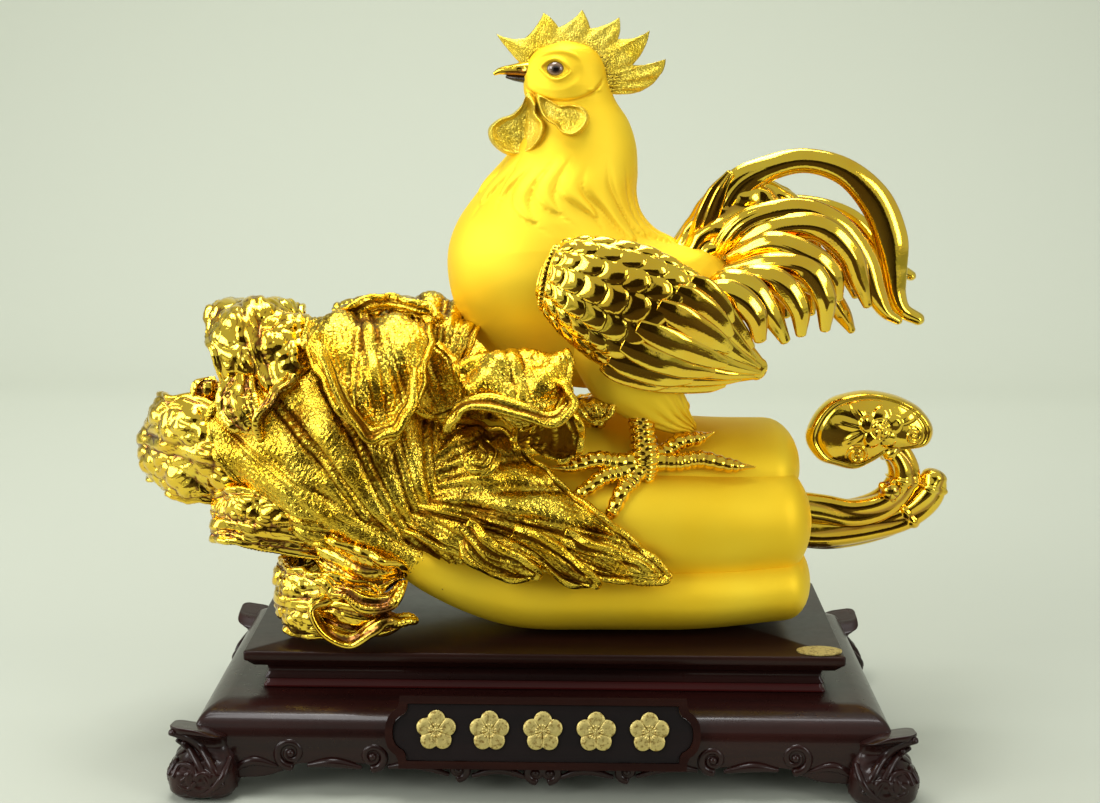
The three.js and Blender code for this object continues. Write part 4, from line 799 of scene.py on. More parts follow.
def lobe(w, outline, thickness, seed):
    # A wattle: a plate laid over the neck's curve, an ellipse that widens downwards. Inside a thick
    # rolled rim is a pitted hollow.
    closed = np.array(outline, float)
    count = len(closed)
    places = np.linspace(2, count + 2, 120, endpoint=False) / (count + 3)
    ringXz = spline(np.concatenate([closed[-2:], closed, closed[:2]]), places)
    middleXz = ringXz.mean(0)
    frontRows, backRows = 70, 34
    r = np.concatenate([np.linspace(0.02, 1, frontRows), np.linspace(1, 0.02, backRows + 1)[1:]])[:, None]
    front = np.concatenate([np.ones(frontRows), -np.ones(backRows)])[:, None]
    xz = middleXz + (ringXz - middleXz)[None] * r[..., None]
    neckHalf = w["neckHalf"] + w["neckFlare"] * (w["neckTop"] - xz[..., 1])
    neck = neckHalf * np.sqrt(np.clip(1 - ((xz[..., 0] - w["neckX"]) / w["neckReach"]) ** 2, 0, 1))
    y = -np.maximum(neck + w["clear"], w["least"])
    gap, _, away = blisters(xz[..., 0] / 1.9, xz[..., 1] / 1.9, seed)
    hollow = ramp(0.80, 0.58, r)
    rolled = np.exp(-(((r - 0.88) / 0.09) ** 2))
    half = thickness / 2 * np.sqrt(np.clip(1 - np.clip((r - 0.84) / 0.16, 0, 1) ** 2, 0, 1))
    pits = 0.45 * (1 - away) * hollow
    y = y - front * (half + (front > 0) * (w["rim"] * rolled - w["hollow"] * hollow + pits))
    points = np.stack([xz[..., 0], y, xz[..., 1]], -1)
    # the relief paints shade over the hollow inside the rim, deepest in the creases between its pits
    return onFigure(points), np.clip(1 - 0.25 * hollow * ramp(0.4, 0.05, gap) - 0.3 * hollow, 0, 1)


wattles = {
    "near": [(-6.5, 275), (-1, 273), (5, 269.8), (11, 270.2), (17, 268.8), (20.3, 264), (18, 258.5),
             (12.3, 254.8), (6.5, 256), (3, 259.8), (-1, 262), (-4.5, 266)],
    "far": [(-10.5, 276), (-6.5, 271.5), (-6, 266), (-1.8, 260.5), (-3.4, 253), (-9, 246.5), (-16, 243.6),
            (-24.2, 246), (-29.6, 251.5), (-30.4, 257.5), (-25.5, 262.3), (-18.5, 265), (-13.5, 270)],
    "nearThickness": 4.6, "farThickness": 6.2, "rim": 2.1, "hollow": 1.5,
    # the neck behind them: half width at its top, growth, top, middle, half depth, gap and least half width
    "neckHalf": 14.5, "neckFlare": 0.3, "neckTop": 270, "neckX": 13, "neckReach": 27,
    "clear": 1.2, "least": 8.0,
}


def makeWattles(w):
    # both lobes lie on the near side; the far one hangs lower and is thicker
    near = lobe(w, w["near"], w["nearThickness"], 31)
    far = lobe(w, w["far"], w["farThickness"], 33)
    makePiece("wattle_near", [near], frostedGold, "frosted_gold", ["wattle_left"])
    makePiece("wattle_far", [far], frostedGold, "frosted_gold", ["wattle_right"])


makeComb(comb)
makeBeak(beak)
makeEyes(eyes, body["eye"])
makeWattles(wattles)
print("head pieces are made")


# Wings

wing = {
    "stations": [(0, 37, 187, 8, 15), (16, 44, 183, 11, 25), (40, 46, 173, 12.5, 31), (64, 43, 161, 11, 29),
                 (88, 36, 148, 7, 17), (106, 31, 140, 3.5, 6)],
    "rows": 266, "outerColumns": 138, "innerColumns": 24, "bands": 8, "scalePitch": 9.0, "length": 118.0,
    "scaleEnd": (0.52, 0.10), "scaleHeight": 1.9, "stepHeight": 1.0, "scaleBase": 1.2,
    "rimAt": 0.028, "rimHalf": 0.022, "rimHeight": 2.0, "shoulder": (0.045, 0.075), "relief": 0.72,
    # tiers of long feathers, the lower tier first: start and end along the wing for the lowest, the
    # middle and the highest feather, share of the half ring that they spread over, lift, half width
    "tiers": [
        {"count": 7, "start": (0.50, 0.55, 0.60), "end": (0.86, 1.0, 0.90), "spread": (-0.80, 0.62),
         "lift": 0.2, "half": 5.2},
        {"count": 7, "start": (0.40, 0.45, 0.55), "end": (0.66, 0.80, 0.74), "spread": (-0.84, 0.66),
         "lift": 1.7, "half": 6.0},
    ],
}


def wingGrid(w, sign):
    # The outer half of each ring has most of the columns. Behind a rolled front rim lie rows of
    # scales: a scale is a dome that rises to its round tip and steps down onto the next one.
    outer = np.linspace(np.pi / 2, 3 * np.pi / 2, w["outerColumns"], endpoint=False)
    inner = np.linspace(-np.pi / 2, np.pi / 2, w["innerColumns"], endpoint=False)
    angles = np.concatenate([outer, inner]) + (np.pi if sign > 0 else 0)
    stations = [(x, sign * y, z, h, v) for x, y, z, h, v in w["stations"]]
    p, t, a = loft(stations, rows=w["rows"], angles=angles, ends=(0.6, 1.4), power=0.92)
    outerSide = np.clip(sign * np.cos(a), 0, 1)
    upDown = np.arctan2(np.sin(a), np.abs(np.cos(a)) + 1e-6) / (np.pi / 2)
    length = t * w["length"]
    band = (upDown + 1) / 2 * w["bands"] + 0.35 * np.sin(t * 5)
    number = np.floor(band)
    cross = (band - number) * 2 - 1
    roundTip = 1 - np.sqrt(np.clip(1 - 0.9 * cross * cross, 0, 1))
    place = (length + w["scalePitch"] * (0.55 * roundTip + (number % 2) / 2)) / w["scalePitch"]
    inScale = place - np.floor(place)
    arch = np.clip(np.sin(np.pi * np.clip(inScale * 0.93 + 0.05, 0, 1)), 0, 1) ** 0.6
    dome = np.sqrt(np.clip(1 - cross**2 * 0.95, 0, 1)) * arch
    scale = w["scaleHeight"] * dome + w["stepHeight"] * inScale
    isScale = ramp(0.02, -0.02, t - w["scaleEnd"][0] - w["scaleEnd"][1] * upDown)
    frontRim = w["rimHeight"] * hump((t - w["rimAt"]) / w["rimHalf"]) * (1 + 0.2 * np.sin(a * 40))
    shoulder = ramp(*w["shoulder"], t)
    fade = ramp(0.02, 0.30, outerSide) * ramp(1.03, 0.97, t)
    total = fade * (shoulder * isScale * (w["scaleBase"] + scale) + (1 - shoulder) * frontRim)
    # valley: painted shade in the gaps between the scales
    valley = np.clip(isScale * (1 - 1.5 * dome), 0, 1) * ramp(0.05, 0.3, outerSide)
    innerMark = 4 * (outerSide[0] <= 0)  # keeps the inner columns away from the search for feather lines
    return raised(p, total * w["relief"]), 1 - 0.8 * valley * shoulder, p, upDown[0] + innerMark


def longFeathers(w, tier, surface, upDown, sign):
    # A feather is a flat polished blade with a quill; its line keeps its share up the side of the wing.
    grids = []
    low, high = tier["spread"]
    for up in np.linspace(low, high, tier["count"]):
        share = (up - low) / (high - low)
        start, end = (spline(np.array(tier[k])[:, None], share)[0] for k in ("start", "end"))
        f = np.linspace(0, 1, 7)
        rows = (capRings + (start + (end - start) * f) * (w["rows"] - 1)).astype(int)
        columns = [np.argmin(np.abs(upDown - up * (1 - 0.12 * k))) for k in f]
        line = surface[rows, columns] + np.array([0, sign * tier["lift"], 0])
        half = tier["half"] * np.array([0.6, 0.95, 1.05, 1.05, 1.0, 0.85, 0.45])
        if end > 0.9:
            half = half * np.array([1, 1, 0.95, 0.85, 0.72, 0.6, 0.6])
        thick = np.array([1.0, 1.7, 1.9, 1.9, 1.8, 1.6, 1.1])
        p, _, a = loft(np.column_stack([line, thick, half]), rows=76, columns=44, ends=(0.5, 1.1), power=0.9)
        across = np.sin(a)
        quill = 0.45 * hump(across / 0.16)
        # painted shade along both edges of each feather
        grids.append((raised(p, quill), 1 - 0.8 * ramp(0.72, 1.0, np.abs(across))))
    return grids


def makeWing(w, sign, word):
    # the scaled wing with its two tiers of long feathers laid on it
    grid, relief, surface, upDown = wingGrid(w, sign)
    grids = [(grid, relief)]
    for tier in w["tiers"]:
        grids += longFeathers(w, tier, surface, upDown, sign)
    grids = [(onFigure(g), r) for g, r in grids]
    makePiece("wing_casting_" + word, grids, polishedGold, "polished_gold", ["wing_" + word])


makeWing(wing, -1, "left")
makeWing(wing, 1, "right")
print("wings are made")


# Tail

tail = {
    "base": [(68, 0, 184, 13, 13), (84, 0, 198, 14, 19), (100, 0, 208, 14, 26), (114, 0, 207, 11.5, 22),
             (126, 0, 199, 8, 15), (134, 0, 192, 4, 8)],
    "outer": [(78, -4, 188, 7), (86, -6, 212, 9.5), (97, -7, 230, 9), (112, -7, 239, 6.6),
              (130, -7, 242.6, 6.2), (150, -7, 237, 7.0), (166, -7, 222, 8.6), (174, -7, 204, 8.8),
              (176.5, -7, 187, 7), (178, -7, 175, 5.4), (182, -7, 167, 4.2), (190, -7, 162.5, 3.2)],
    "inner": [(82, -9, 192, 6), (96, -14, 209, 7), (112, -16, 217, 6.2), (131, -16, 218, 6.2),
              (148, -16, 208, 7), (160, -16, 192, 6.8), (166, -16, 177, 5.6), (172, -15, 167, 3.6),
              (178, -14, 163, 2.4)],
    "far": [(80, 6, 190, 6), (94, 10, 208, 7.5), (114, 12, 216, 7), (136, 12, 217, 6.5), (156, 12, 210, 7),
            (170, 12, 197, 6.5), (180, 12, 187, 4.5), (189, 12, 182.5, 2.6)],
    "upright": [(76, -6, 196, 2.2, 7), (80, -9, 212, 2.6, 7), (85, -10, 226, 2.4, 5.5),
                (91, -10, 236, 1.4, 2.2)],
    "thickness": 4.2, "strands": 11, "slant": 2.6, "strandHeight": 2.2,
    # hanging blades of the near side: x, y, z, half width; each arcs over and hangs
    "blades": [
        [
            (92, -12, 198, 4), (114, -18, 209, 6.2), (136, -22, 210, 6.4), (151, -22, 198, 6),
            (157, -20, 184, 5), (162, -18, 171, 2.4),
        ],
        [
            (92, -14, 192, 4), (112, -22, 202, 6), (131, -27, 196, 6.4), (142, -26, 187, 5.6),
            (146, -24, 175, 2.6),
        ],
        [
            (102, -17, 192, 4), (124, -17, 186, 5), (142, -14, 176, 5), (150, -12, 166, 4.4),
            (155.5, -11, 157, 2),
        ],
        [
            (90, -15, 186, 4), (112, -25, 192, 5.8), (129, -30, 190, 6.4), (138, -31, 177, 5.6),
            (139.5, -28, 160, 2.6),
        ],
        [
            (88, -17, 178, 4), (100, -27, 186, 5.6), (115, -33, 184, 6.2), (125, -34, 172, 5.4),
            (127, -32, 158, 2.6),
        ],
        [
            (80, -20, 174, 4), (88, -31, 184, 5.6), (100, -36, 182, 6.2), (110, -37, 170, 5.6),
            (119, -34, 155, 2.6),
        ],
        [(70, -26, 166, 4), (78, -35, 177, 5.6), (90, -40, 179, 6.6), (102, -41, 170, 6), (106, -39, 156, 3)],
    ],
}


def sickleGrid(stations, thickness, flute):
    # A polished blade: a section with two broad bevels that meet on a soft ridge; fluted at its root.
    s = [(x, y, z, thickness, half) for x, y, z, half in stations]
    p, t, a = loft(s, rows=230, columns=72, ends=(0.5, 1.0), power=1.25)
    waves = np.cos(a * 14 + 9 * np.sin(t * 9))
    flutes = flute * ramp(0.30, 0.03, t) * waves
    p = raised(p, flutes + 0.12 * noise(np.stack([t * 14, 0 * t], -1), 3))
    # painted shade in the valleys of the flutes at the root
    return onFigure(p), np.clip(1 - 0.7 * ramp(0.28, 0.05, t) * (0.5 - 0.5 * waves), 0, 1)


def bladeGrid(stations, sign):
    # A hanging blade: a plain polished hook with a soft rib and a groove along each edge.
    thick = [1.8] + [3.4] * (len(stations) - 2) + [1.8]
    s = [(x, -sign * y, z, k, half * 1.08) for k, (x, y, z, half) in zip(thick, stations)]
    p, t, a = loft(s, rows=110, columns=44, ends=(0.5, 0.9), power=1.1)
    across = np.abs(np.sin(a))
    shape = 0.7 * hump(across / 0.5) - 0.4 * hump((across - 0.9) / 0.1)
    p = raised(p, shape * ramp(0, 0.12, t) * ramp(1.02, 0.85, t))
    # painted shade in the groove along each edge, and towards the root
    return onFigure(p), np.clip(1 - 0.9 * hump((across - 0.92) / 0.12), 0, 1) * ramp(-0.15, 0.25, t)


def makeTail(s):
    # The base is a swollen core cut into slanting strands, and a small upright feather stands on it.
    p, t, a = loft(s["base"], rows=170, columns=170, ends=(0.6, 0.8))
    slant = s["slant"] * t * np.sign(np.cos(a))
    strand = (a / np.pi * s["strands"] + slant + 0.8 * noise(p / 9, 12)) % 2 - 1
    p = raised(p, s["strandHeight"] * (hump(strand) - 0.55) * ramp(-0.05, 0.2, t))
    upright, _, a = loft(s["upright"], rows=80, columns=48, ends=(0.5, 1.0))
    barbs = np.cos(np.sin(a) * 9)
    # painted shade in the grooves between the strands and between the upright feather's barbs
    core = (onFigure(p), 0.15 + 0.85 * hump(strand))
    feather = (onFigure(raised(upright, 0.45 * barbs)), 0.5 + 0.5 * barbs)
    makePiece("tail_core", [core, feather], polishedGold, "polished_gold", ["tail_base"])
    for word, which, flute in (("long", "outer", 0.5), ("short", "inner", 0.4), ("behind", "far", 0.4)):
        grid = sickleGrid(s[which], s["thickness"], flute)
        makePiece("sickle_" + word, [grid], polishedGold, "polished_gold", ["sickle_" + which])
    for sign, word in ((-1, "left"), (1, "right")):
        grids = [bladeGrid(stations, sign) for stations in s["blades"]]
        makePiece("tail_blades_" + word, grids, polishedGold, "polished_gold", ["tail_feathers_" + word])


makeTail(tail)
print("tail is made")


# Legs

legs = {
    "left": {"ankle": (50, -37, 94), "knee": (47, -29, 124),
             "toes": [(2, -49, 92), (9, -54, 76), (29, -57, 65), (85, -26, 106), (105, -38, 91)]},
    "right": {"ankle": (42, 24, 108), "knee": (43, 26, 126),
              "toes": [(6, 10, 112), (4, 26, 111), (10, 44, 97), (72, 22, 108)]},
    "shank": 6.4, "toe": 4.3, "bead": 4.3,
}


def makeLeg(word, spec, shank, toe, bead):
    # Shank: two columns of shield scales. Toes: a chain of beads that ends in a smooth claw.
    ankle = spec["ankle"]
    (x, y, z), (kx, ky, kz) = ankle, spec["knee"]
    stations = [
        (kx, ky, kz + 12, shank * 1.25, shank * 1.35),
        (kx, ky, kz, shank * 1.1, shank * 1.2),
        ((x + kx) / 2, (y + ky) / 2, (z + kz) / 2, shank, shank),
        (x, y, z, shank * 1.25, shank * 1.2),
        (x, y, z - 9, shank * 0.8, shank * 0.8),
    ]
    p, t, a = loft(stations, rows=170, columns=72)
    ringNumber = t * 17 + 0.5 * (np.sin(a) > 0)
    ring = np.abs((ringNumber % 1) * 2 - 1)
    seam = hump(np.sin(a) / 0.16)
    shape = 0.9 * hump(ring * 0.92) * (1 - 0.8 * seam)
    # painted shade between the rings of scales and along the seam between the columns
    grids = [(onFigure(raised(p, shape - 0.3)), np.clip(0.1 + shape * 1.2, 0, 1))]
    for tip in spec["toes"]:
        near = [c * 0.7 + d * 0.3 for c, d in zip(ankle, tip)]
        middle = [(c + d) / 2 for c, d in zip(ankle, tip)]
        far = [c * 0.22 + d * 0.78 for c, d in zip(ankle, tip)]
        stations = [
            (*ankle, toe * 1.25, toe * 1.2),
            (*near, toe * 1.05, toe * 1.05),
            (middle[0], middle[1], middle[2] + 2.2, toe, toe),
            (*far, toe * 0.8, toe * 0.85),
            (*tip, toe * 0.25, toe * 0.3),
        ]
        p, t, a = loft(stations, side=(0, 0.6, 0.8), rows=110, columns=40, ends=(0.4, 1.2))
        beads = math.dist(ankle, tip) / bead
        inBead = np.abs(((t * beads) % 1) * 2 - 1)
        pad = 0.75 * hump(inBead * 0.95) * (0.45 + 0.55 * np.abs(np.sin(a * 2))) * ramp(0.86, 0.8, t)
        claw = ramp(0.84, 0.9, t)
        # painted shade between the toes' beads
        relief = np.clip(0.1 + 1.3 * pad + 0.55 * claw, 0, 1)
        grids.append((onFigure(raised(p, pad - 0.2 - 0.3 * claw)), relief))
    makePiece("leg_casting_" + word, grids, polishedGold, "polished_gold", ["leg_" + word])


for word in ("left", "right"):
    makeLeg(word, legs[word], legs["shank"], legs["toe"], legs["bead"])
print("legs are made")


# Cabbage stalks

stalks = {
    "front": [(122, -9, 26, 36, 22), (80, -12, 23.5, 40, 22.8), (30, -18, 23, 35, 22.4),
              (-15, -30, 25, 25, 20.5), (-50, -44, 36, 14, 14), (-80, -54, 54, 9, 9),
              (-115, -57, 76, 6.5, 6.5), (-148, -46, 100, 4, 4.5)],
    "middle": [(118, -20, 59, 26, 29), (80, -24, 58, 28, 30), (35, -27, 60, 27, 28), (-5, -24, 68, 23, 24),
               (-45, -18, 80, 17, 18), (-80, -10, 95, 10, 12)],
    "upper": [(116, 8, 83, 40, 23), (80, 6, 83, 42, 23.5), (35, 4, 86, 40, 23), (-10, 2, 94, 34, 22),
              (-60, 2, 108, 24, 18), (-100, 4, 120, 12, 12)],
    "back": [(118, 24, 57, 26, 29), (80, 27, 56, 28, 30), (35, 29, 58, 26, 28), (-5, 27, 66, 22, 24),
             (-45, 22, 78, 16, 18), (-80, 14, 92, 9, 12)],
    "back_low": [(122, 14, 25, 34, 21), (80, 17, 23.5, 36, 22.8), (30, 22, 23, 32, 22.4),
                 (-15, 32, 25, 24, 20.5), (-50, 42, 36, 14, 14), (-85, 48, 56, 8, 9)],
}
stalkWaves = {"flute": 0.3, "wave": 0.2, "waveLength": 18, "lowest": 0.3}


def makeStalk(word, stations, w):
    # Smooth swollen ribs: a loft with noise along and round it and slow noise in space, flat underneath.
    p, t, a = loft(stations, rows=120, columns=100, ends=(0.72, 0.6))
    flute = w["flute"] * noise(np.stack([t * 3, a * 1.5], -1), 7)
    p = raised(p, flute * ramp(0.0, 0.15, t) + w["wave"] * noise(p / w["waveLength"], 8))
    p[..., 2] = np.maximum(p[..., 2], w["lowest"])
    makePiece("stalk_casting_" + word, [onFigure(p)], satinGold, "satin_gold", ["stalk_" + word])


for word, stations in stalks.items():
    makeStalk(word, stations, stalkWaves)
print("stalks are made")


# Cabbage leaves

right = (1, 0, 0)
left = (-1, 0, 0)
leaves = {
    "leaf_front": dict(
        rib=[(-45, -52, 38), (-80, -62, 60), (-115, -62, 80), (-148, -50, 102), (-170, -36, 116)],
        side=(0.55, 0, 0.84), above=[40, 74, 84, 66, 26], below=[10, 20, 26, 22, 8], roll=-0.9, waves=2.5,
        waveHeight=4, crumple=1.6, phase=0, fan=12, fanDepth=3.0, sweep=1.9, rows=330, columns=240,
        blister=2.6, blisterHeight=0.5, rim=1.2,
    ),
    "leaf_tongue": dict(
        rib=[(-72, -56, 76), (-40, -64, 72), (0, -67, 62), (35, -64, 50), (62, -56, 38)],
        side=(-0.3, -0.25, -1), above=[14, 22, 19, 13, 4], below=[44, 50, 30, 15, 4], roll=-0.6,
        crumple=2.2, phase=1, fan=12, fanDepth=1.2, rows=280, columns=150, blister=2.6,
        blisterHeight=0.55, rim=1.2,
    ),
    "leaf_curl_right": dict(
        rib=[(-28, -16, 102), (-22, -37, 138), (-17, -53, 150), (-13, -67, 142), (-10, -71, 127),
        (-8, -62, 117)], side=left, above=[16, 26, 30, 28, 22, 8], roll=-0.5, waves=2, crumple=2.6,
        phase=2, blister=3.0,
    ),
    "leaf_curl_center": dict(
        rib=[(-96, -12, 140), (-93, -26, 163), (-88, -46, 162), (-84, -61, 146), (-80, -69, 124),
        (-77, -67, 108)], side=left, above=[22, 31, 33, 29, 19, 5], roll=-0.4, waves=2, crumple=2.6,
        phase=3, rows=220, columns=130, blister=2.8, veins=20,
    ),
    "leaf_crown_top": dict(
        rib=[(-58, -34, 140), (-64, -22, 160), (-71, 0, 169), (-78, 22, 164), (-86, 36, 146)], side=right,
        above=[20, 34, 38, 34, 18], below=[26, 38, 42, 36, 18], roll=-0.5, crumple=2.4, phase=4, rows=200,
        columns=130, blister=2.8, veins=14,
    ),
    "leaf_curl_upper_left": dict(
        rib=[(-132, -36, 112), (-141, -42, 136), (-148, -34, 158), (-152, -12, 169), (-150, 14, 160),
        (-145, 26, 142)], side=right, above=[22, 30, 32, 30, 24, 10], below=[16, 22, 24, 24, 20, 9],
        roll=-0.6, crumple=3.2, phase=5, blister=7.4, blisterHeight=1.3, shell=True,
    ),
    "leaf_curl_far_left": dict(
        rib=[(-132, -38, 84), (-163, -40, 93), (-192, -28, 96), (-210.5, -4, 95), (-203, 20, 89),
        (-186, 30, 86)], side=(0.1, 0, 1), above=[20, 28, 29, 24, 18, 8], roll=-0.6, crumple=2.4, phase=6,
        blister=8.4, blisterHeight=1.5, shell=True,
    ),
    "leaf_curl_lower_left": dict(
        rib=[(-112, -50, 54), (-140, -56, 60), (-158, -52, 62), (-168, -36, 58), (-161, -20, 52)],
        side=(0.1, 0, 1), above=[15, 20, 20, 16, 8], below=[10, 11, 10, 9, 6], roll=-0.6, waves=2,
        crumple=2.2, phase=7, blister=6.4, blisterHeight=1.2, shell=True,
    ),
    "leaf_curl_bottom_left": dict(
        rib=[(-82, -10, 66), (-112, -12, 36), (-134, -28, 24), (-132, -50, 23), (-108, -64, 23),
        (-78, -62, 26)], side=(0, 0, -1), above=[15, 19, 19, 18.5, 18, 11], roll=-0.6, waves=2,
        waveHeight=2, crumple=2.2, phase=8, blister=6.6, blisterHeight=1.2, shell=True,
    ),
    "leaf_curl_small": dict(
        rib=[(16, -10, 84), (20, -16, 106), (23, -24, 121), (25, -34, 122), (26, -39, 112)], side=left,
        above=[6, 9, 12, 12, 5], roll=-0.3, waves=1, waveHeight=1, crumple=0.8, phase=9, rows=100,
        columns=60, blister=2.4,
    ),
    "leaf_back": dict(
        rib=[(-40, 48, 40), (-80, 58, 62), (-115, 58, 84), (-150, 48, 104), (-174, 36, 114)],
        side=(-0.55, 0, -0.84), above=[10, 20, 26, 22, 8], below=[40, 74, 84, 64, 26], roll=-0.9,
        waves=2.5, waveHeight=4, crumple=1.6, phase=10, fan=14, fanDepth=2.4, sweep=1.7, rows=180,
        columns=130, blister=2.8, blisterHeight=0.5, rim=1.2,
    ),
    "leaf_curl_back": dict(
        rib=[(-62, 26, 112), (-54, 40, 136), (-48, 56, 146), (-45, 70, 136), (-45, 72, 118)], side=right,
        above=[18, 29, 32, 27, 10], roll=-0.4, waves=2, crumple=2.6, phase=11,
    ),
}


shadeUnderRims = [  # where shade is painted under rims: place in x and z, width, height, amount
    (-12, 177, 26, 11, 0.7), (-84, 166, 14, 12, 0.6), (-76, 90, 10, 4, 1.2), (8, 170, 10, 12, 0.5),
    (-104, 190, 8, 14, 0.5), (-124, 176, 6, 14, 0.5), (-122, 184, 18, 16, 0.2), (-100, 172, 14, 16, 0.25),
]


leafCarving = {
    # from the rib, a vein or the edge, in mm: where a form starts and ends, or its place and half width
    "midrib": (3.4, 1.6), "midGroove": (6.0, 3.4), "vein": (1.3, 0.3), "veinGroove": 3.0,
    "beadAt": 1.7, "beadHalf": 1.7, "channelAt": 4.1, "channelHalf": 1.0, "lineAt": 5.7, "lineHalf": 0.9,
    "inner": (2.6, 4.6), "foot": 14, "sweepLength": 100,
    # heights and depths in mm
    "midribHeight": 1.2, "midGrooveDepth": 0.8, "veinHeight": 1.2, "veinDepth": 1.6, "channelDepth": 0.5,
    "lineHeight": 0.6, "halfThickness": 1.6, "relief": 0.85,
}


def leafGrid(rib, side, above, below=None, roll=0.0, waves=3, waveHeight=3, crumple=0.0, phase=0, fan=0,
             fanDepth=0.0, rows=170, columns=100, blister=3.4, blisterHeight=0.8, rim=1.4, veins=0, flare=2.0,
             sweep=0.35, shell=False):
    # The sheet of the CAD leaf: from the rib a point goes sideways by its share v of the width, the
    # sheet turns by roll times v squared, waves along its edge and is crumpled into sine lumps. On it
    # lie veins that fan out from its foot, blisters between them, a midrib and a rolled, beaded rim
    # with a second line inside it.
    below = above if below is None else below
    rows, columns = round(rows * fineness), round(columns * fineness)
    side = np.asarray(side, float)
    length = np.linalg.norm(np.diff(spline(rib, np.linspace(0, 1, 200)), axis=0), axis=1).sum()
    even = np.linspace(0, 1, rows)[:, None]
    t = 0.6 * np.sin(even**1.15 * np.pi / 2) + 0.4 * even
    back = columns * 2 // 3
    v = np.concatenate([np.linspace(-1, 1, columns), np.linspace(1, -1, back + 2)[1:-1]])[None]
    frontSide = np.concatenate([np.ones(columns), -np.ones(back)])[None]
    tangent = unit(spline(rib, t[:, 0] + 1e-3) - spline(rib, t[:, 0] - 1e-3))
    tangent[0], tangent[-1] = tangent[1], tangent[-2]
    across = unit(side - tangent * (tangent @ side)[:, None])
    out = np.cross(across, tangent)
    width = spline(np.stack([above, below], 1), t[:, 0])
    tipLength = min(0.8 * max(above[-1], below[-1]) + 3, 0.3 * length) / length
    rounded = np.sqrt(np.clip(1 - (np.clip(t - 1 + tipLength, 0, 1) / tipLength) ** 2, 0.003, 1))
    x = t * length + 0 * v
    scallop = 1 + 0.03 * np.sin(x / 3.4 + phase) + 0.012 * np.sin(x / 1.7 + 2 * phase + 2 * (v > 0))
    plain = np.where(v > 0, width[:, :1], width[:, 1:]) * rounded
    reach = plain * (1 + (scallop - 1) * v * v)
    y = v * plain
    toEdge = np.minimum((1 - np.abs(v)) * reach, (1 - t) * length * 0.9 + 0 * v)
    turn = roll * v * v * 0.6
    wave = waveHeight * v * v * np.sin(2 * np.pi * waves * t + np.where(v > 0, 0, 1.3))
    small = np.sin(x / 4.2 + 2 * phase + 0.8 * np.sin(y / 7)) * np.cos(y / 5 + phase)
    lumps = crumple * ramp(0.0, 0.18, t) * (0.6 * small + 0.5 * np.sin(y / 6.5 - x / 9 + 3 * phase))
    nearEdge = ramp(9, 0, toEdge)
    frill = flare * nearEdge**2 + 0.9 * nearEdge * np.sin(x / 2.8 + 2 * np.sin(x / 11 + phase))
    points = (spline(rib, t[:, 0])[:, None]
              + across[:, None] * (reach * v * np.cos(turn))[..., None]
              + out[:, None] * (reach * np.abs(v) * np.sin(turn) + wave + frill + lumps)[..., None])
    warp = 0.35 * noise(np.stack([x / 6, y / 6], -1), phase + 5)
    gap, tilt, away = blisters(x / blister + warp, y / blister - warp, phase + 40)
    creases = ramp(0.0, 0.45 if shell else 0.30, gap)
    lean = 0.55 if shell else 0.35
    dome = creases * (0.45 + 0.55 * np.clip(1 - away * away, 0, 1)) + lean * tilt * creases
    c = leafCarving
    step = fan or veins or 1
    fromFoot = x + c["foot"]
    radius = np.hypot(fromFoot, y)
    rays = np.degrees(np.arctan2(np.abs(y), fromFoot)) / step - sweep * ramp(0, c["sweepLength"], radius)
    offVein = np.abs(rays - np.round(rays)) * np.radians(step) * radius
    veined = (fan > 0 or veins > 0)
    groove = np.exp(-((offVein / c["veinGroove"]) ** 2)) * veined
    ridge = ramp(*c["vein"], offVein) * veined
    midrib = ramp(*c["midrib"], np.abs(y)) * ramp(1.02, 0.6, t)
    midGroove = ramp(*c["midGroove"], np.abs(y)) * (1 - midrib) * ramp(1.0, 0.7, t)
    bead = hump((toEdge - c["beadAt"]) / c["beadHalf"]) * (0.8 + 0.2 * np.cos(x * 2.9))
    channel = hump((toEdge - c["channelAt"]) / c["channelHalf"])
    line = hump((toEdge - c["lineAt"]) / c["lineHalf"])
    inner = ramp(*c["inner"], toEdge)
    height = (blisterHeight * dome * inner * (1 - 0.8 * ridge) * (1 - midrib) * (1 - line)
              + (c["veinHeight"] * ridge - (fanDepth + c["veinDepth"]) * groove) * inner
              + c["midribHeight"] * midrib - c["midGrooveDepth"] * midGroove
              + rim * bead - c["channelDepth"] * channel + c["lineHeight"] * line)
    roundEdge = 1 - np.clip(toEdge / c["beadAt"], 0, 1)
    thin = c["halfThickness"] * np.sqrt(np.clip(1 - roundEdge**2, 0.02, 1))
    sheet = np.cross(np.gradient(points[:, :columns], axis=1), np.gradient(points[:, :columns], axis=0))
    nearest = np.round((v[0, columns:] + 1) / 2 * (columns - 1)).astype(int)
    facing = unit(np.concatenate([sheet, sheet[:, nearest]], 1))
    agree = np.sign((facing[:, :columns] * out[:, None]).sum())
    grid = points + facing * agree * (frontSide * (thin + height * c["relief"]))[..., None]
    grid = onFigure(grid)
    # painted shade: in the blisters' creases, the vein grooves, the midrib's groove, the channel inside the
    # rim, the valleys between the lumps and under the rims listed above
    valley = ramp(0.1, -1.1, lumps / max(crumple, 0.5))
    creased = ramp(0.14, 0.0, gap) if shell else 0.6 * (1 - creases)
    dark = creased * inner + groove * (1 - ridge) * inner + 0.7 * midGroove + 0.9 * channel + 0.45 * valley
    for hx, hz, wide, high, amount in shadeUnderRims:
        dx, dz = (grid[..., 0] - hx) / wide, (grid[..., 2] - hz) / high
        dark = dark + amount * np.exp(-(dx**2) - dz**2)
    return grid, 1 - np.clip(dark, 0, 1)


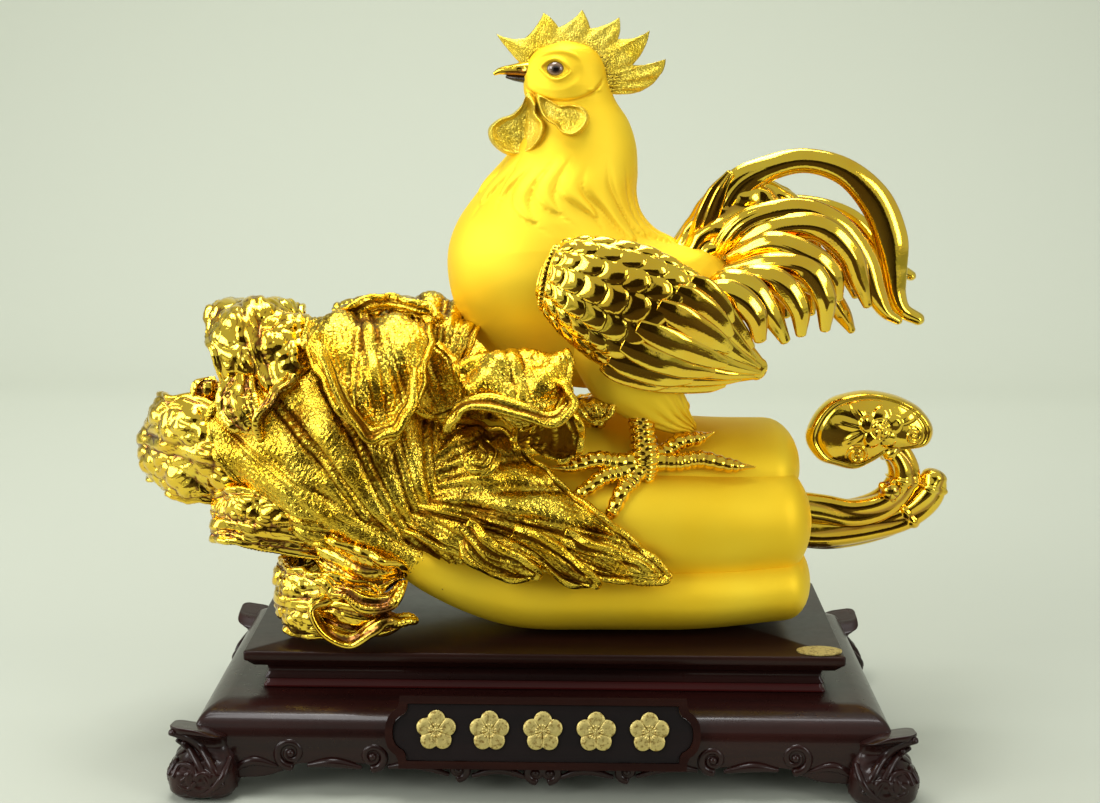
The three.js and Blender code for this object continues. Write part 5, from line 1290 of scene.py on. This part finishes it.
lip = dict(
    side=(0, -1, -0.3), roll=-0.9, waves=1, waveHeight=1, crumple=0.5, rows=150, columns=44, blister=2.2,
    blisterHeight=0.4, rim=0.9, flare=0.8,
)
leaflet = dict(
    side=(0.2, -0.3, 1), roll=-0.7, waves=2, waveHeight=1.5, crumple=0.8, rows=100, columns=70,
    blister=2.0, blisterHeight=0.4, rim=0.9, veins=24, flare=1.2,
)
trims = {  # smaller folds and leaflets that are cast in one with a leaf
    "leaf_curl_right": [
        dict(
            lip, rib=[(-46, -74, 117), (-41, -76, 127), (-29, -77, 132), (-11, -78, 127), (1, -78, 123.5),
            (10, -75, 127), (11, -70, 135), (4, -66, 143)], above=[4, 6, 7, 7, 6, 6, 5, 3],
        ),
        dict(
            leaflet, rib=[(2, -62, 124), (5, -61, 114), (5, -57, 105), (2, -53, 98)], side=right,
            above=[12, 15, 14, 5], below=[20, 24, 20, 8], waves=3, waveHeight=2.6, phase=6, veins=9,
        ),
    ],
    "leaf_curl_center": [
        dict(
            lip, rib=[(-112, -64, 160), (-108, -70, 152), (-97, -75, 132), (-84, -77, 115.5),
            (-70, -77, 121), (-64, -74, 133), (-62, -66, 145)], above=[3, 5, 6, 6, 6, 5, 3], phase=1,
        ),
        dict(
            leaflet, rib=[(-64, -34, 148), (-59, -41, 138), (-54, -44, 128), (-50, -45, 114)], side=right,
            above=[12, 17, 16, 6], phase=8, veins=0, blister=2.6, crumple=1.6,
        ),
    ],
    "leaf_tongue": [
        dict(
            leaflet, rib=[(-40, -68, 66), (-29, -72, 55), (-15, -73, 48), (-1, -70, 41.5)],
            above=[8, 11, 9, 3],
        ),
        dict(
            leaflet, rib=[(-16, -68, 62), (-5, -70, 58), (12, -70, 46), (28, -66, 36)],
            above=[7, 9, 8, 3], phase=1,
        ),
        dict(
            leaflet, rib=[(8, -66, 60), (20, -66, 54), (40, -64, 46), (58, -60, 39)],
            above=[7, 9, 7, 2.5], phase=2,
        ),
        dict(
            leaflet, rib=[(-30, -66, 108), (-26, -72, 104), (-29, -75, 99), (-35, -75, 99),
            (-36, -72, 104)], side=right, above=[4, 5, 5, 4, 3], phase=3, veins=0,
        ),
    ],
    "leaf_curl_upper_left": [
        dict(
            lip, rib=[(-126, -46, 138), (-135, -52, 127), (-140, -54, 118), (-143, -53, 105)],
            above=[3, 5, 6, 3],
        ),
        dict(
            leaflet, rib=[(-152, -42, 136), (-153, -50, 126), (-149, -53, 117), (-143, -52, 110)],
            side=left, above=[7, 11, 10, 4], phase=4, veins=0, blister=5.0, blisterHeight=1.4, shell=True,
        ),
        dict(
            leaflet, rib=[(-170, -12, 110), (-172, -20, 118), (-172, -24, 126), (-172, -21, 132)],
            side=left, above=[8, 10.5, 9.5, 5], phase=2, veins=0, blister=5.0, blisterHeight=1.0,
            shell=True,
        ),
    ],
    "leaf_curl_bottom_left": [
        dict(
            lip, rib=[(-111, -67, 37), (-103, -70, 34.5), (-95, -71, 33), (-87, -72, 30),
            (-76, -70, 29.5), (-68, -64, 37)], above=[3, 5, 6.5, 7, 6, 3],
        ),
        dict(
            lip, rib=[(-108, -66, 30), (-115, -68, 24), (-111, -69, 15), (-100, -68, 9), (-90.5, -69, 11),
            (-81, -70, 19), (-72, -66, 18), (-64, -61, 15)], above=[3, 5, 6, 6.5, 6, 5, 4, 2.5], phase=1,
        ),
        dict(
            leaflet, rib=[(-114, -62, 22), (-98, -66, 19), (-84, -64, 16), (-67, -58, 14)],
            above=[6, 9.5, 7.5, 3.5], phase=7, veins=0, blister=4.6, blisterHeight=1.0, shell=True,
        ),
        dict(
            leaflet, rib=[(-120, -46, 52), (-103, -58, 46), (-86, -63, 41), (-68, -60, 41)],
            above=[9, 15, 14, 7], below=[9, 11, 10, 6], phase=3, veins=0, blister=4.0, blisterHeight=0.8,
            crumple=1.6, shell=True,
        ),
    ],
    "leaf_crown_top": [
        dict(
            lip, rib=[(-108, -16, 163), (-95, -22, 168.5), (-81, -18, 170), (-66, -24, 168),
            (-52, -28, 163)], side=(0, -0.5, 1), above=[3, 6, 6, 6, 3], waves=4, waveHeight=3,
            crumple=1.2, phase=2,
        ),
    ],
}
frontRib = [(-59, -47.5, 41.5, 10.8, 10.8), (-80, -54, 54, 10, 10), (-115, -57, 76, 7.6, 7.6),
            (-146, -47, 98.5, 5, 5.4)]


def ribGrid(stations, seed):
    # the thin end of the front stalk inside the leaf: a round rib with the leaf's small blisters
    p, t, a = loft(stations, rows=220, columns=70)
    dome = ramp(0.0, 0.35, blisters(t * 44, a * 3.2, seed)[0])
    # painted shade in the creases between the blisters
    return onFigure(raised(p, 0.7 * dome)), 0.35 + 0.65 * dome


def makeLeaf(name, spec):
    # a leaf with its trims; the front one also holds the end of the front stalk
    grids = [leafGrid(**part) for part in [spec] + trims.get(name, [])]
    if name == "leaf_front":
        grids.append(ribGrid(frontRib, 31))
    finish = curlGold if spec.get("shell") else leafGold
    makePiece(name.replace("leaf", "ruffle", 1), grids, finish, "leaf_gold", [name])


for name, spec in leaves.items():
    makeLeaf(name, spec)

heart = [(120, 2, 54, 20, 24), (60, 2, 54, 24, 28), (0, 2, 62, 26, 28), (-50, 0, 84, 28, 30),
         (-95, -2, 106, 34, 36), (-135, -2, 112, 30, 32)]


def makeHeart(stations):
    # a plain core behind the leaves, with small blisters that are counted along and round it
    p, t, a = loft(stations, rows=170, columns=150, ends=(0.72, 0.6))
    stones = ramp(0.02, 0.3, blisters(t * 60, a * 11, 77)[0])
    grid = onFigure(raised(p, 1.2 * stones))
    # painted shade in the creases between the blisters
    makePiece("cabbage_core", [(grid, 0.2 + 0.8 * stones)], leafGold, "leaf_gold", ["cabbage_heart"])


makeHeart(heart)
print("cabbage is made")


# Sceptre

ruyi = {
    "y": 12.0, "middle": (172, 101), "thickness": 13.0, "dome": 5.0, "headRows": 80,
    "outline": [(137, 95), (140.5, 107.5), (148.5, 116.5), (157.5, 120), (168, 121.6), (179, 120.4),
                (188.5, 117.4), (198, 111.5), (204.5, 101), (202, 93), (190.5, 90), (182, 89), (172, 83),
                (163, 79), (152, 81), (144, 84)],
    "stem": [(176, 12, 96, 6, 7), (187, 12, 86, 6.4, 7), (190, 12, 74, 7, 8), (181, 12, 61, 7, 8),
             (164, 11, 55, 7, 8), (146, 10, 57, 7, 8), (124, 8, 60, 7, 8)],
    "bud": [(124, 8, 46, 6, 8), (150, 11, 43, 7, 8), (174, 12, 46, 6, 7), (192, 12, 53, 6, 7),
            (202.5, 12, 64, 7, 8), (206.5, 12, 75, 6, 7)],
    "collars": {"stem": (0.10, 0.34), "bud": (0.62, 0.9)},  # shares of the length
    "knot": [(182, 6, 68.6, 6.5, 6.0), (182, 3.4, 68.6, 5.0, 4.6)],
    # on the head, from its middle: a leaf's x, z, angle and length, and a scroll's x, z and radius
    "leaves": [(-14, 4, 2.9, 9), (-9, 11, 2.2, 8), (19, 8, 0.5, 8), (-11, -3, 3.7, 7)],
    "scrolls": [(-8.5, -12.8, 6.0), (21, -2, 5.0)],
    "blossomAt": (3, 2), "petals": 5, "petalTurn": 0.3, "petalReach": 12.0, "petalHeight": 1.5,
    "bossHeight": 1.2, "scrollPitch": 3.0, "scrollHeight": 1.5, "rimHeight": 1.2,
    "flutes": 4, "fluteHeight": 1.5, "collarHeight": 1.2, "collarHalf": 0.03,
}


def headGrid(r):
    # The head is a plate with a rolled rim, a blossom in its middle, leaves and two scrolls round it.
    around = [r["outline"][-1]] + r["outline"] + r["outline"][:2]
    last = len(around) - 1
    ring = spline(around, np.linspace(1 / last, (last - 1) / last, 170, endpoint=False))
    outline = np.stack([ring[:, 0], np.full(len(ring), r["y"]), ring[:, 1]], -1)
    middle = np.array([r["middle"][0], r["y"], r["middle"][1]])
    grid, radius, front = plateGrid(middle, outline, r["thickness"], (0, -1, 0), rows=r["headRows"])
    x, z = grid[..., 0] - middle[0], grid[..., 2] - middle[2]
    rim = hump((radius - 0.93) / 0.07)[:, None] * r["rimHeight"]
    groove = -0.7 * hump((radius - 0.84) / 0.05)[:, None]
    blossomX, blossomZ = r["blossomAt"]
    q, d = np.arctan2(z - blossomZ, x - blossomX), np.hypot(x - blossomX, z - blossomZ)
    lobes = np.abs(np.cos(r["petals"] / 2 * (q - r["petalTurn"])))
    petal = r["petalReach"] * (0.70 + 0.30 * lobes)
    blossom = r["petalHeight"] * ramp(petal + 0.6, petal - 1.8, d) * (0.45 + 0.55 * lobes)
    blossom = blossom + r["bossHeight"] * hump(d / 3.0)
    blossom = blossom - 0.6 * hump((d - 5.0) / 1.0)
    for cx, cz, angle, size in r["leaves"]:
        u = (x - cx) * math.cos(angle) + (z - cz) * math.sin(angle)
        w = (z - cz) * math.cos(angle) - (x - cx) * math.sin(angle)
        vein = 0.5 * hump(w / 0.6) * hump(u / size)
        blossom = blossom + 1.3 * hump(np.hypot(u / size, w / (0.4 * size))) - vein
    scroll = 0
    for cx, cz, size in r["scrolls"]:
        sq, sd = np.arctan2(z - cz, x - cx), np.hypot(x - cx, z - cz)
        turns = (sd / r["scrollPitch"] - sq / (2 * np.pi)) % 1
        scroll = scroll + r["scrollHeight"] * hump((turns - 0.5) / 0.4) * ramp(size, size - 1.2, sd)
    height = rim + groove + blossom + scroll + 0.3 * noise(grid / 8, 14)
    height = height + r["dome"] * (1 - np.clip(radius / 0.8, 0, 1) ** 2)[:, None]
    grid = grid + np.array([0, -1.0, 0]) * (front[:, None] * height)[..., None] * 0.8
    # painted shade where the height is low, most in the groove inside the rim
    return onFigure(grid), np.clip(0.75 + 0.5 * height, 0.15, 1)


def makeSceptre(r):
    # The stem and the bud are lofts with four twisted flutes and two collars each; a five-lobed knot
    # sits where they meet.
    makePiece("sceptre_head", [headGrid(r)], polishedGold, "polished_gold", ["ruyi_head"])
    grids = []
    for key, collars in r["collars"].items():
        p, t, a = loft(r[key], rows=190, columns=84, ends=(0.5, 0.7))
        inFlute = ((a / (2 * np.pi) * r["flutes"] + 0.35 * np.sin(5 * t)) % 1) * 2 - 1
        flutes = r["fluteHeight"] * (hump(inFlute) - 0.5)
        collar = 0
        for at in collars:
            collar = collar + r["collarHeight"] * hump((t - at) / r["collarHalf"])
        p = raised(p, flutes * ramp(-0.01, 0.05, t) * ramp(1.01, 0.93, t) + collar)
        # painted shade in the flutes' valleys
        grids.append((onFigure(p), np.clip(0.6 + flutes * 0.7, 0, 1)))
    p, t, a = loft(r["knot"], side=(1, 0, 0), rows=40, columns=60, ends=(0.5, 0.7))
    # painted shade between the knot's lobes
    grids.append((onFigure(raised(p, 0.9 * np.cos(5 * a) * ramp(0.95, 0.3, t))), 0.5 + 0.5 * np.cos(5 * a)))
    makePiece("sceptre_stem", grids, polishedGold, "polished_gold", ["ruyi_stem"])


makeSceptre(ruyi)
print("sceptre is made")


# Stand

stand = {
    "deckLength": 314.0, "deckDepth": 138.0, "deckHeight": 44.0, "bulgeX": 15.0, "bulgeY": 21.0, "wall": 6.0,
    "apron": 15.0, "drop": 8.0,
    # how far out the side has swelled, as a share of the bulge, and how far it is below the deck
    "profile": [(0, 0), (0.10, 0.12), (0.32, 0.9), (0.62, 3), (0.84, 6.2), (0.96, 10.5), (1.0, 17),
                (0.98, 23)],
}


def rectangle(halfX, halfY, corner, perSide=60):
    # Rounded rectangle, from its right side round: a quarter circle at each corner, and a straight
    # side from its end to the start of the next one.
    def arc(q, share):
        signX, signY = [(1, 1), (-1, 1), (-1, -1), (1, -1)][q % 4]
        angle = (q + share) * np.pi / 2
        x = corner * np.cos(angle) + signX * (halfX - corner)
        return np.stack([x, corner * np.sin(angle) + signY * (halfY - corner)], -1)

    ring = []
    f = np.linspace(0, 1, perSide + 1)[1:-1, None]
    for q in range(4):
        quarter = arc(q, np.linspace(0, 1, 8))
        ring.append(np.concatenate([quarter, quarter[-1] + (arc(q + 1, 0.0) - quarter[-1]) * f]))
    return np.concatenate(ring)


def moulding(sections, corner):
    # A stack of rounded rectangles: sections are (length, depth, height).
    return np.stack([atHeight(rectangle(length / 2, depth / 2, corner), z) for length, depth, z in sections])


def atHeight(ring, z):
    # a flat ring at one height, or at a height for each of its points
    return np.concatenate([ring, np.broadcast_to(z, len(ring))[:, None]], 1)


def shellGrid(s):
    # The hollow body: down the swelling outside, round the scalloped lower edge and up the inside.
    corner, perSide = 3, 90
    top, wall = s["deckHeight"], s["wall"]

    def ring(out, height, inward=0.0):
        halfX = s["deckLength"] / 2 + out * s["bulgeX"] - inward
        halfY = s["deckDepth"] / 2 + out * s["bulgeY"] - inward
        return atHeight(rectangle(halfX, halfY, corner, perSide), height)

    widest = ring(1, 0)
    halfX, halfY = s["deckLength"] / 2 + s["bulgeX"], s["deckDepth"] / 2 + s["bulgeY"]
    onLong = np.abs(widest[:, 1]) > halfY - corner
    place = np.where(onLong, widest[:, 0] / halfX, widest[:, 1] / halfY)
    beside = np.clip(np.abs(place) - 0.72, 0, 1) / 0.28
    edge = s["apron"] + 2.5 * np.abs(np.sin(2.5 * np.pi * place)) - s["drop"] * np.sqrt(beside) - 2.5 * beside
    rows = [ring(0, top, inset) for inset in np.linspace(60, 0.5, 12)]
    rows += [ring(max(out, 0), top - drop) for out, drop in spline(s["profile"], np.linspace(0, 1, 44))]
    start = top - s["profile"][-1][1]
    rows += [ring(0.98 - 0.03 * f, start + (edge - start) * f) for f in np.linspace(0.1, 1, 12)]
    rows += [ring(0.95, edge - 0.8 * np.sin(np.pi * q), wall * q) for q in np.linspace(0.2, 1, 6)]
    rows += [ring(0.98, top - 17, wall), ring(0.75, top - 10, wall), ring(0.5, top - wall, wall)]
    rows += [ring(0, top - wall, inset) for inset in (30, 60)]
    return np.stack(rows)


apronCarving = {
    # scrolls: place from the middle as a share of the half length, height, radius, turns' way
    "scrolls": [(0.72, 22.5, 7.5, 1), (0.485, 21, 6.5, -1), (0.02, 13.5, 4.5, 1), (0.24, 14.5, 4.5, -1)],
    "turns": 1.6, "thick": 2.3, "thin": 1.2, "sunk": 0.9,
    # ropes between them: places and heights
    "ropes": [[(0.52, 15), (0.60, 17.5), (0.67, 16)], [(0.76, 15.5), (0.83, 18), (0.90, 12)],
              [(0.27, 12), (0.36, 17), (0.44, 15.5)], [(0.05, 11), (0.12, 15), (0.20, 11.5)]],
}


def apronScrolls(c, halfLength, out, place):
    # A scroll is a round bar on an inward spiral; place turns (along, height) into the frame's x, y.
    grids = []
    for sign in (-1, 1):
        for share, z, radius, way in c["scrolls"]:
            f = np.linspace(0, 1, 26)
            spin = 2 * np.pi * c["turns"] * f * way - np.pi / 2
            r = radius * (1 - 0.86 * f)
            thick = c["thick"] + (c["thin"] - c["thick"]) * f
            along, height = sign * (share * halfLength + r * np.cos(spin)), z + r * np.sin(spin)
            stations = np.column_stack([place(along, out), height, thick, thick])
            outSide = [*place(np.zeros(1), 1.0)[0], 0.05]
            grids.append(loft(stations, side=outSide, rows=110, columns=14)[0])
            middle = np.array([sign * share * halfLength])
            knob = [(*place(middle, out + k)[0], z, 2.2, 2.2) for k in (-1.2, 0.6)]
            grids.append(loft(knob, side=(0, 0, 1), rows=12, columns=20, ends=(1, 1))[0])
        for rope in c["ropes"]:
            along = np.array([sign * share * halfLength for share, z in rope])
            radii = np.array([1.1, 2.6, 1.1])
            stations = np.column_stack([place(along, out), [z for share, z in rope], radii, radii])
            grids.append(loft(stations, side=(0, 0, 1), rows=50, columns=16)[0])
    return grids


def makeShell(s, c):
    # the shell with scrolls on all four sides; the short sides hold fewer of them
    halfX, halfY = s["deckLength"] / 2 + s["bulgeX"], s["deckDepth"] / 2 + s["bulgeY"]
    fewer = dict(c, scrolls=c["scrolls"][1:3], ropes=c["ropes"][2:3])
    carving = []
    for turned in (-1, 1):
        def onLong(along, out):
            return np.column_stack([along, turned * out + 0 * along])

        def onShort(along, out):
            return np.column_stack([turned * out + 0 * along, along])

        carving += apronScrolls(c, halfX, halfY - c["sunk"], onLong)
        carving += apronScrolls(fewer, halfY, halfX - c["sunk"], onShort)
    makePiece("stand_shell", [shellGrid(s)] + carving, lacquer, "lacquer", ["stand_body"])


makeShell(stand, apronCarving)


def edged(length, depth, low, high, corner, cuts):
    # A plate between two heights whose side follows the cuts: (inset, share of the height).
    narrow = 4.0  # depth of the strip that closes its underside and top
    sections = [(length - (depth - narrow), narrow, low)]
    sections += [(length - 2 * i, depth - 2 * i, low + f * (high - low)) for i, f in cuts]
    sections += [(length - (depth - narrow), narrow, high)]
    return moulding(sections, corner)


plates = {  # CAD node: new name, length, depth, corner, cuts
    "step_moulding": ("step_band", 282, 110, 2, [
        (-1.4, 0.0), (-1.5, 0.06), (-1.2, 0.3), (0, 0.55), (0, 0.94), (0.2, 1.0),
    ]),
    "waist_band": ("waist_ring", 286, 113, 2, [
        (1.0, 0.0), (1.0, 0.03), (2.3, 0.3), (2.6, 0.5), (2.3, 0.7), (1.0, 0.9), (0.2, 0.97), (0.4, 1.0),
    ]),
    "top_slab": ("slab_plate", 302, 128, 1.5, [
        (4.2, 0.0), (4.0, 0.02), (1.0, 0.38), (0.3, 0.43), (0.0, 0.5), (0.0, 0.88), (0.25, 0.96),
        (0.9, 1.0),
    ]),
}
plateFinishes = {
    "step_moulding": (redLacquer, "red_lacquer"),
    "waist_band": (lacquer, "lacquer"),
    "top_slab": (slabLacquer, "lacquer"),
}
for node, (name, length, depth, corner, cuts) in plates.items():
    low, high = (end.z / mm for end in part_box(node))
    makePiece(name, [edged(length, depth, low, high, corner, cuts)], *plateFinishes[node], [node])

foot = {
    "spanX": 367.0, "spanY": 204.0, "width": 33.0, "base": 1.8, "top": 39.5, "fall": 5.0, "rows": 72,
    "spiralHeight": 13, "spiralPitch": 4.2, "spiralReach": (13, 10.5), "spiralRelief": 1.1,
    # share of the width, inset of the outer sides, share of the height
    "sections": [(0.5, 7, 0.0), (0.82, 3.4, 0.005), (0.9, 1.8, 0.05), (1.0, 0.3, 0.14), (1.0, 0.0, 0.30),
                 (0.92, 2, 0.42), (0.76, 6.5, 0.54), (0.62, 9.0, 0.66), (0.64, 7.8, 0.76), (0.72, 4.5, 0.85),
                 (0.70, 2.0, 0.93), (0.55, 2.2, 0.985), (0.25, 6, 1.0)],
}


def footGrid(f, signX, signY):
    # A scroll foot: rounded square sections that swell, neck in and flare to the ear, with a
    # spiral carved on the swelling.
    rows = []
    for share, inset, level in spline(f["sections"], np.linspace(0, 1, f["rows"])):
        half = max(share, 0.1) * f["width"] / 2
        outX, outY = f["spanX"] / 2 - max(inset, 0) - half, f["spanY"] / 2 - max(inset, 0) - half
        centre = np.array([signX * outX, signY * outY])
        z = f["base"] + np.clip(level, 0, 1) * (f["top"] - f["base"])
        rows.append(atHeight(rectangle(half, half, half * 0.55, 17) + centre, z))
    p = np.stack(rows)
    middle = p.mean(1, keepdims=True)
    local = (p - middle) * [signX, signY, 0]
    level = (p[..., 2] - f["base"]) / (f["top"] - f["base"])
    inner = np.clip(0.5 - (local[..., 0] + local[..., 1]) / f["width"], 0, 1)
    p[..., 2] -= f["fall"] * ramp(0.66, 0.95, level) * inner
    sideways = np.where(np.abs(local[..., 0]) > np.abs(local[..., 1]), local[..., 1], local[..., 0])
    z = p[..., 2] - f["spiralHeight"]
    d, q = np.hypot(sideways + 1, z), np.arctan2(z, sideways + 1)
    turns = (d / f["spiralPitch"] - q / (2 * np.pi)) % 1
    spiral = (hump((turns - 0.5) / 0.42) - 0.5) * ramp(*f["spiralReach"], d)
    facingOut = ramp(2, 6, np.maximum(local[..., 0], local[..., 1]))
    return raised(p, f["spiralRelief"] * spiral * facingOut)


leafStrands = {  # carved leaves on a foot's outer face: sideways from the corner inwards, height, radius
    "high": [(2, 36, 1.6), (8, 33, 2.2), (15, 26, 2.4), (22, 18, 2.2), (27, 10, 1.4)],
    "middle": [(4, 30, 1.2), (9, 26, 1.9), (15, 19, 2.1), (20, 11, 1.6), (22, 6, 1.0)],
    "curl": [(3, 14, 1.1), (6, 19, 1.7), (12, 18, 1.8), (14, 12, 1.6), (10, 8, 1.4), (6, 11, 1.2),
             (9, 13.5, 1.3)],
    "low": [(16, 4.5, 1.2), (21, 7, 1.8), (27, 14, 1.9), (30, 22, 1.3)],
}


def footLeaves(f, signX, signY):
    # Each strand follows the foot's own section at its height, on the long face and on the end face.
    inset = np.array([(level, max(i, 0)) for share, i, level in f["sections"]])
    grids = []
    for strand in leafStrands.values():
        along, z, radius = np.array(strand, float).T
        level = (z - f["base"]) / (f["top"] - f["base"])
        sunk, beside = np.interp(level, inset[:, 0], inset[:, 1]) + 0.9, along + 1
        for fromX, fromY in ((beside, sunk), (sunk, beside)):
            x, y = signX * (f["spanX"] / 2 - fromX), signY * (f["spanY"] / 2 - fromY)
            stations = np.stack([x, y, z, radius, radius], 1)
            grids.append(loft(stations, side=(0.3, 0.3, 1), rows=60, columns=16)[0])
    return grids


corners = {"front_left": (-1, -1), "front_right": (1, -1), "back_left": (-1, 1), "back_right": (1, 1)}
for word, (signX, signY) in corners.items():
    grids = [footGrid(foot, signX, signY)] + footLeaves(foot, signX, signY)
    makePiece("scroll_foot_" + word, grids, lacquer, "lacquer", ["foot_" + word])
print("stand is made")


# Blossoms on the plaque

blossom = {
    "petals": 5, "reach": 0.56, "petal": 0.44, "edge": 0.35, "dome": 1.0, "boss": 0.9, "lean": 0.27,
    "thickness": 1.2, "span": 1.93,  # width over the petals, in radii
}


def blossomGrid(b, middle, radius, thickness):
    # Petals are round discs on a ring: the outline is the furthest point of the nearest disc, and the
    # height is each disc's dome with a seam beside it, a boss and a ring of stamens in the middle. It
    # leans back like the panel.
    q = np.linspace(0, 2 * np.pi, 125, endpoint=False)[None]
    delta = (q * b["petals"] / (2 * np.pi) + 0.5) % 1 - 0.5
    delta = delta * 2 * np.pi / b["petals"]
    outline = b["reach"] * np.cos(delta) + np.sqrt(b["petal"] ** 2 - (b["reach"] * np.sin(delta)) ** 2)
    frontRows = 34
    share = np.concatenate([np.linspace(0.02, 1, frontRows), [1, 0.5, 0.02]])[:, None]
    r = share * outline
    away = np.hypot(r * np.cos(delta) - b["reach"], r * np.sin(delta)) / b["petal"]
    seam = ramp(0.0, 0.10, np.abs(np.abs(delta) - np.pi / b["petals"]) * r * 4)
    dome = np.sqrt(np.clip(1 - 0.85 * away**2, 0, 1)) * seam
    stamens = hump((r - 0.30) / 0.07) * (0.5 + 0.5 * np.cos(15 * q))
    cup = -0.25 * hump(away / 0.5)
    height = thickness * (b["edge"] + b["dome"] * dome + cup + b["boss"] * hump(r / 0.2) + 0.5 * stamens)
    height[frontRows:] = 0
    right, up = np.array([1, 0, 0]), np.array([0, math.sin(b["lean"]), math.cos(b["lean"])])
    out = np.array([0, -math.cos(b["lean"]), math.sin(b["lean"])])
    flat = right * (np.sin(q) * r * radius)[..., None] + up * (np.cos(q) * r * radius)[..., None]
    base = middle - out * thickness / 2
    return base + flat + out * height[..., None], np.clip(height / thickness, 0, 1)


for i in range(1, 6):
    low, high = (np.array(corner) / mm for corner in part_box("plaque_ornament_%d" % i))
    grid = blossomGrid(blossom, (low + high) / 2, (high[0] - low[0]) / blossom["span"], blossom["thickness"])
    makePiece("plaque_blossom_%d" % i, [grid], giltPaint, "gilt_paint", ["plaque_ornament_%d" % i])
print("blossoms are made")


# Small CAD nodes that keep their shape

plainNodes = {"felt_pad_" + word: greenFelt for word in corners}
plainNodes.update(fixing_screw_1=zincSteel, fixing_screw_2=zincSteel, plaque_frame=slabLacquer)
plainNodes.update(plaque_panel=panelLacquer, oval_label=giltPaint)
for node, finish in plainNodes.items():
    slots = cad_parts[node].data.materials
    slots.clear()
    slots.append(finish)
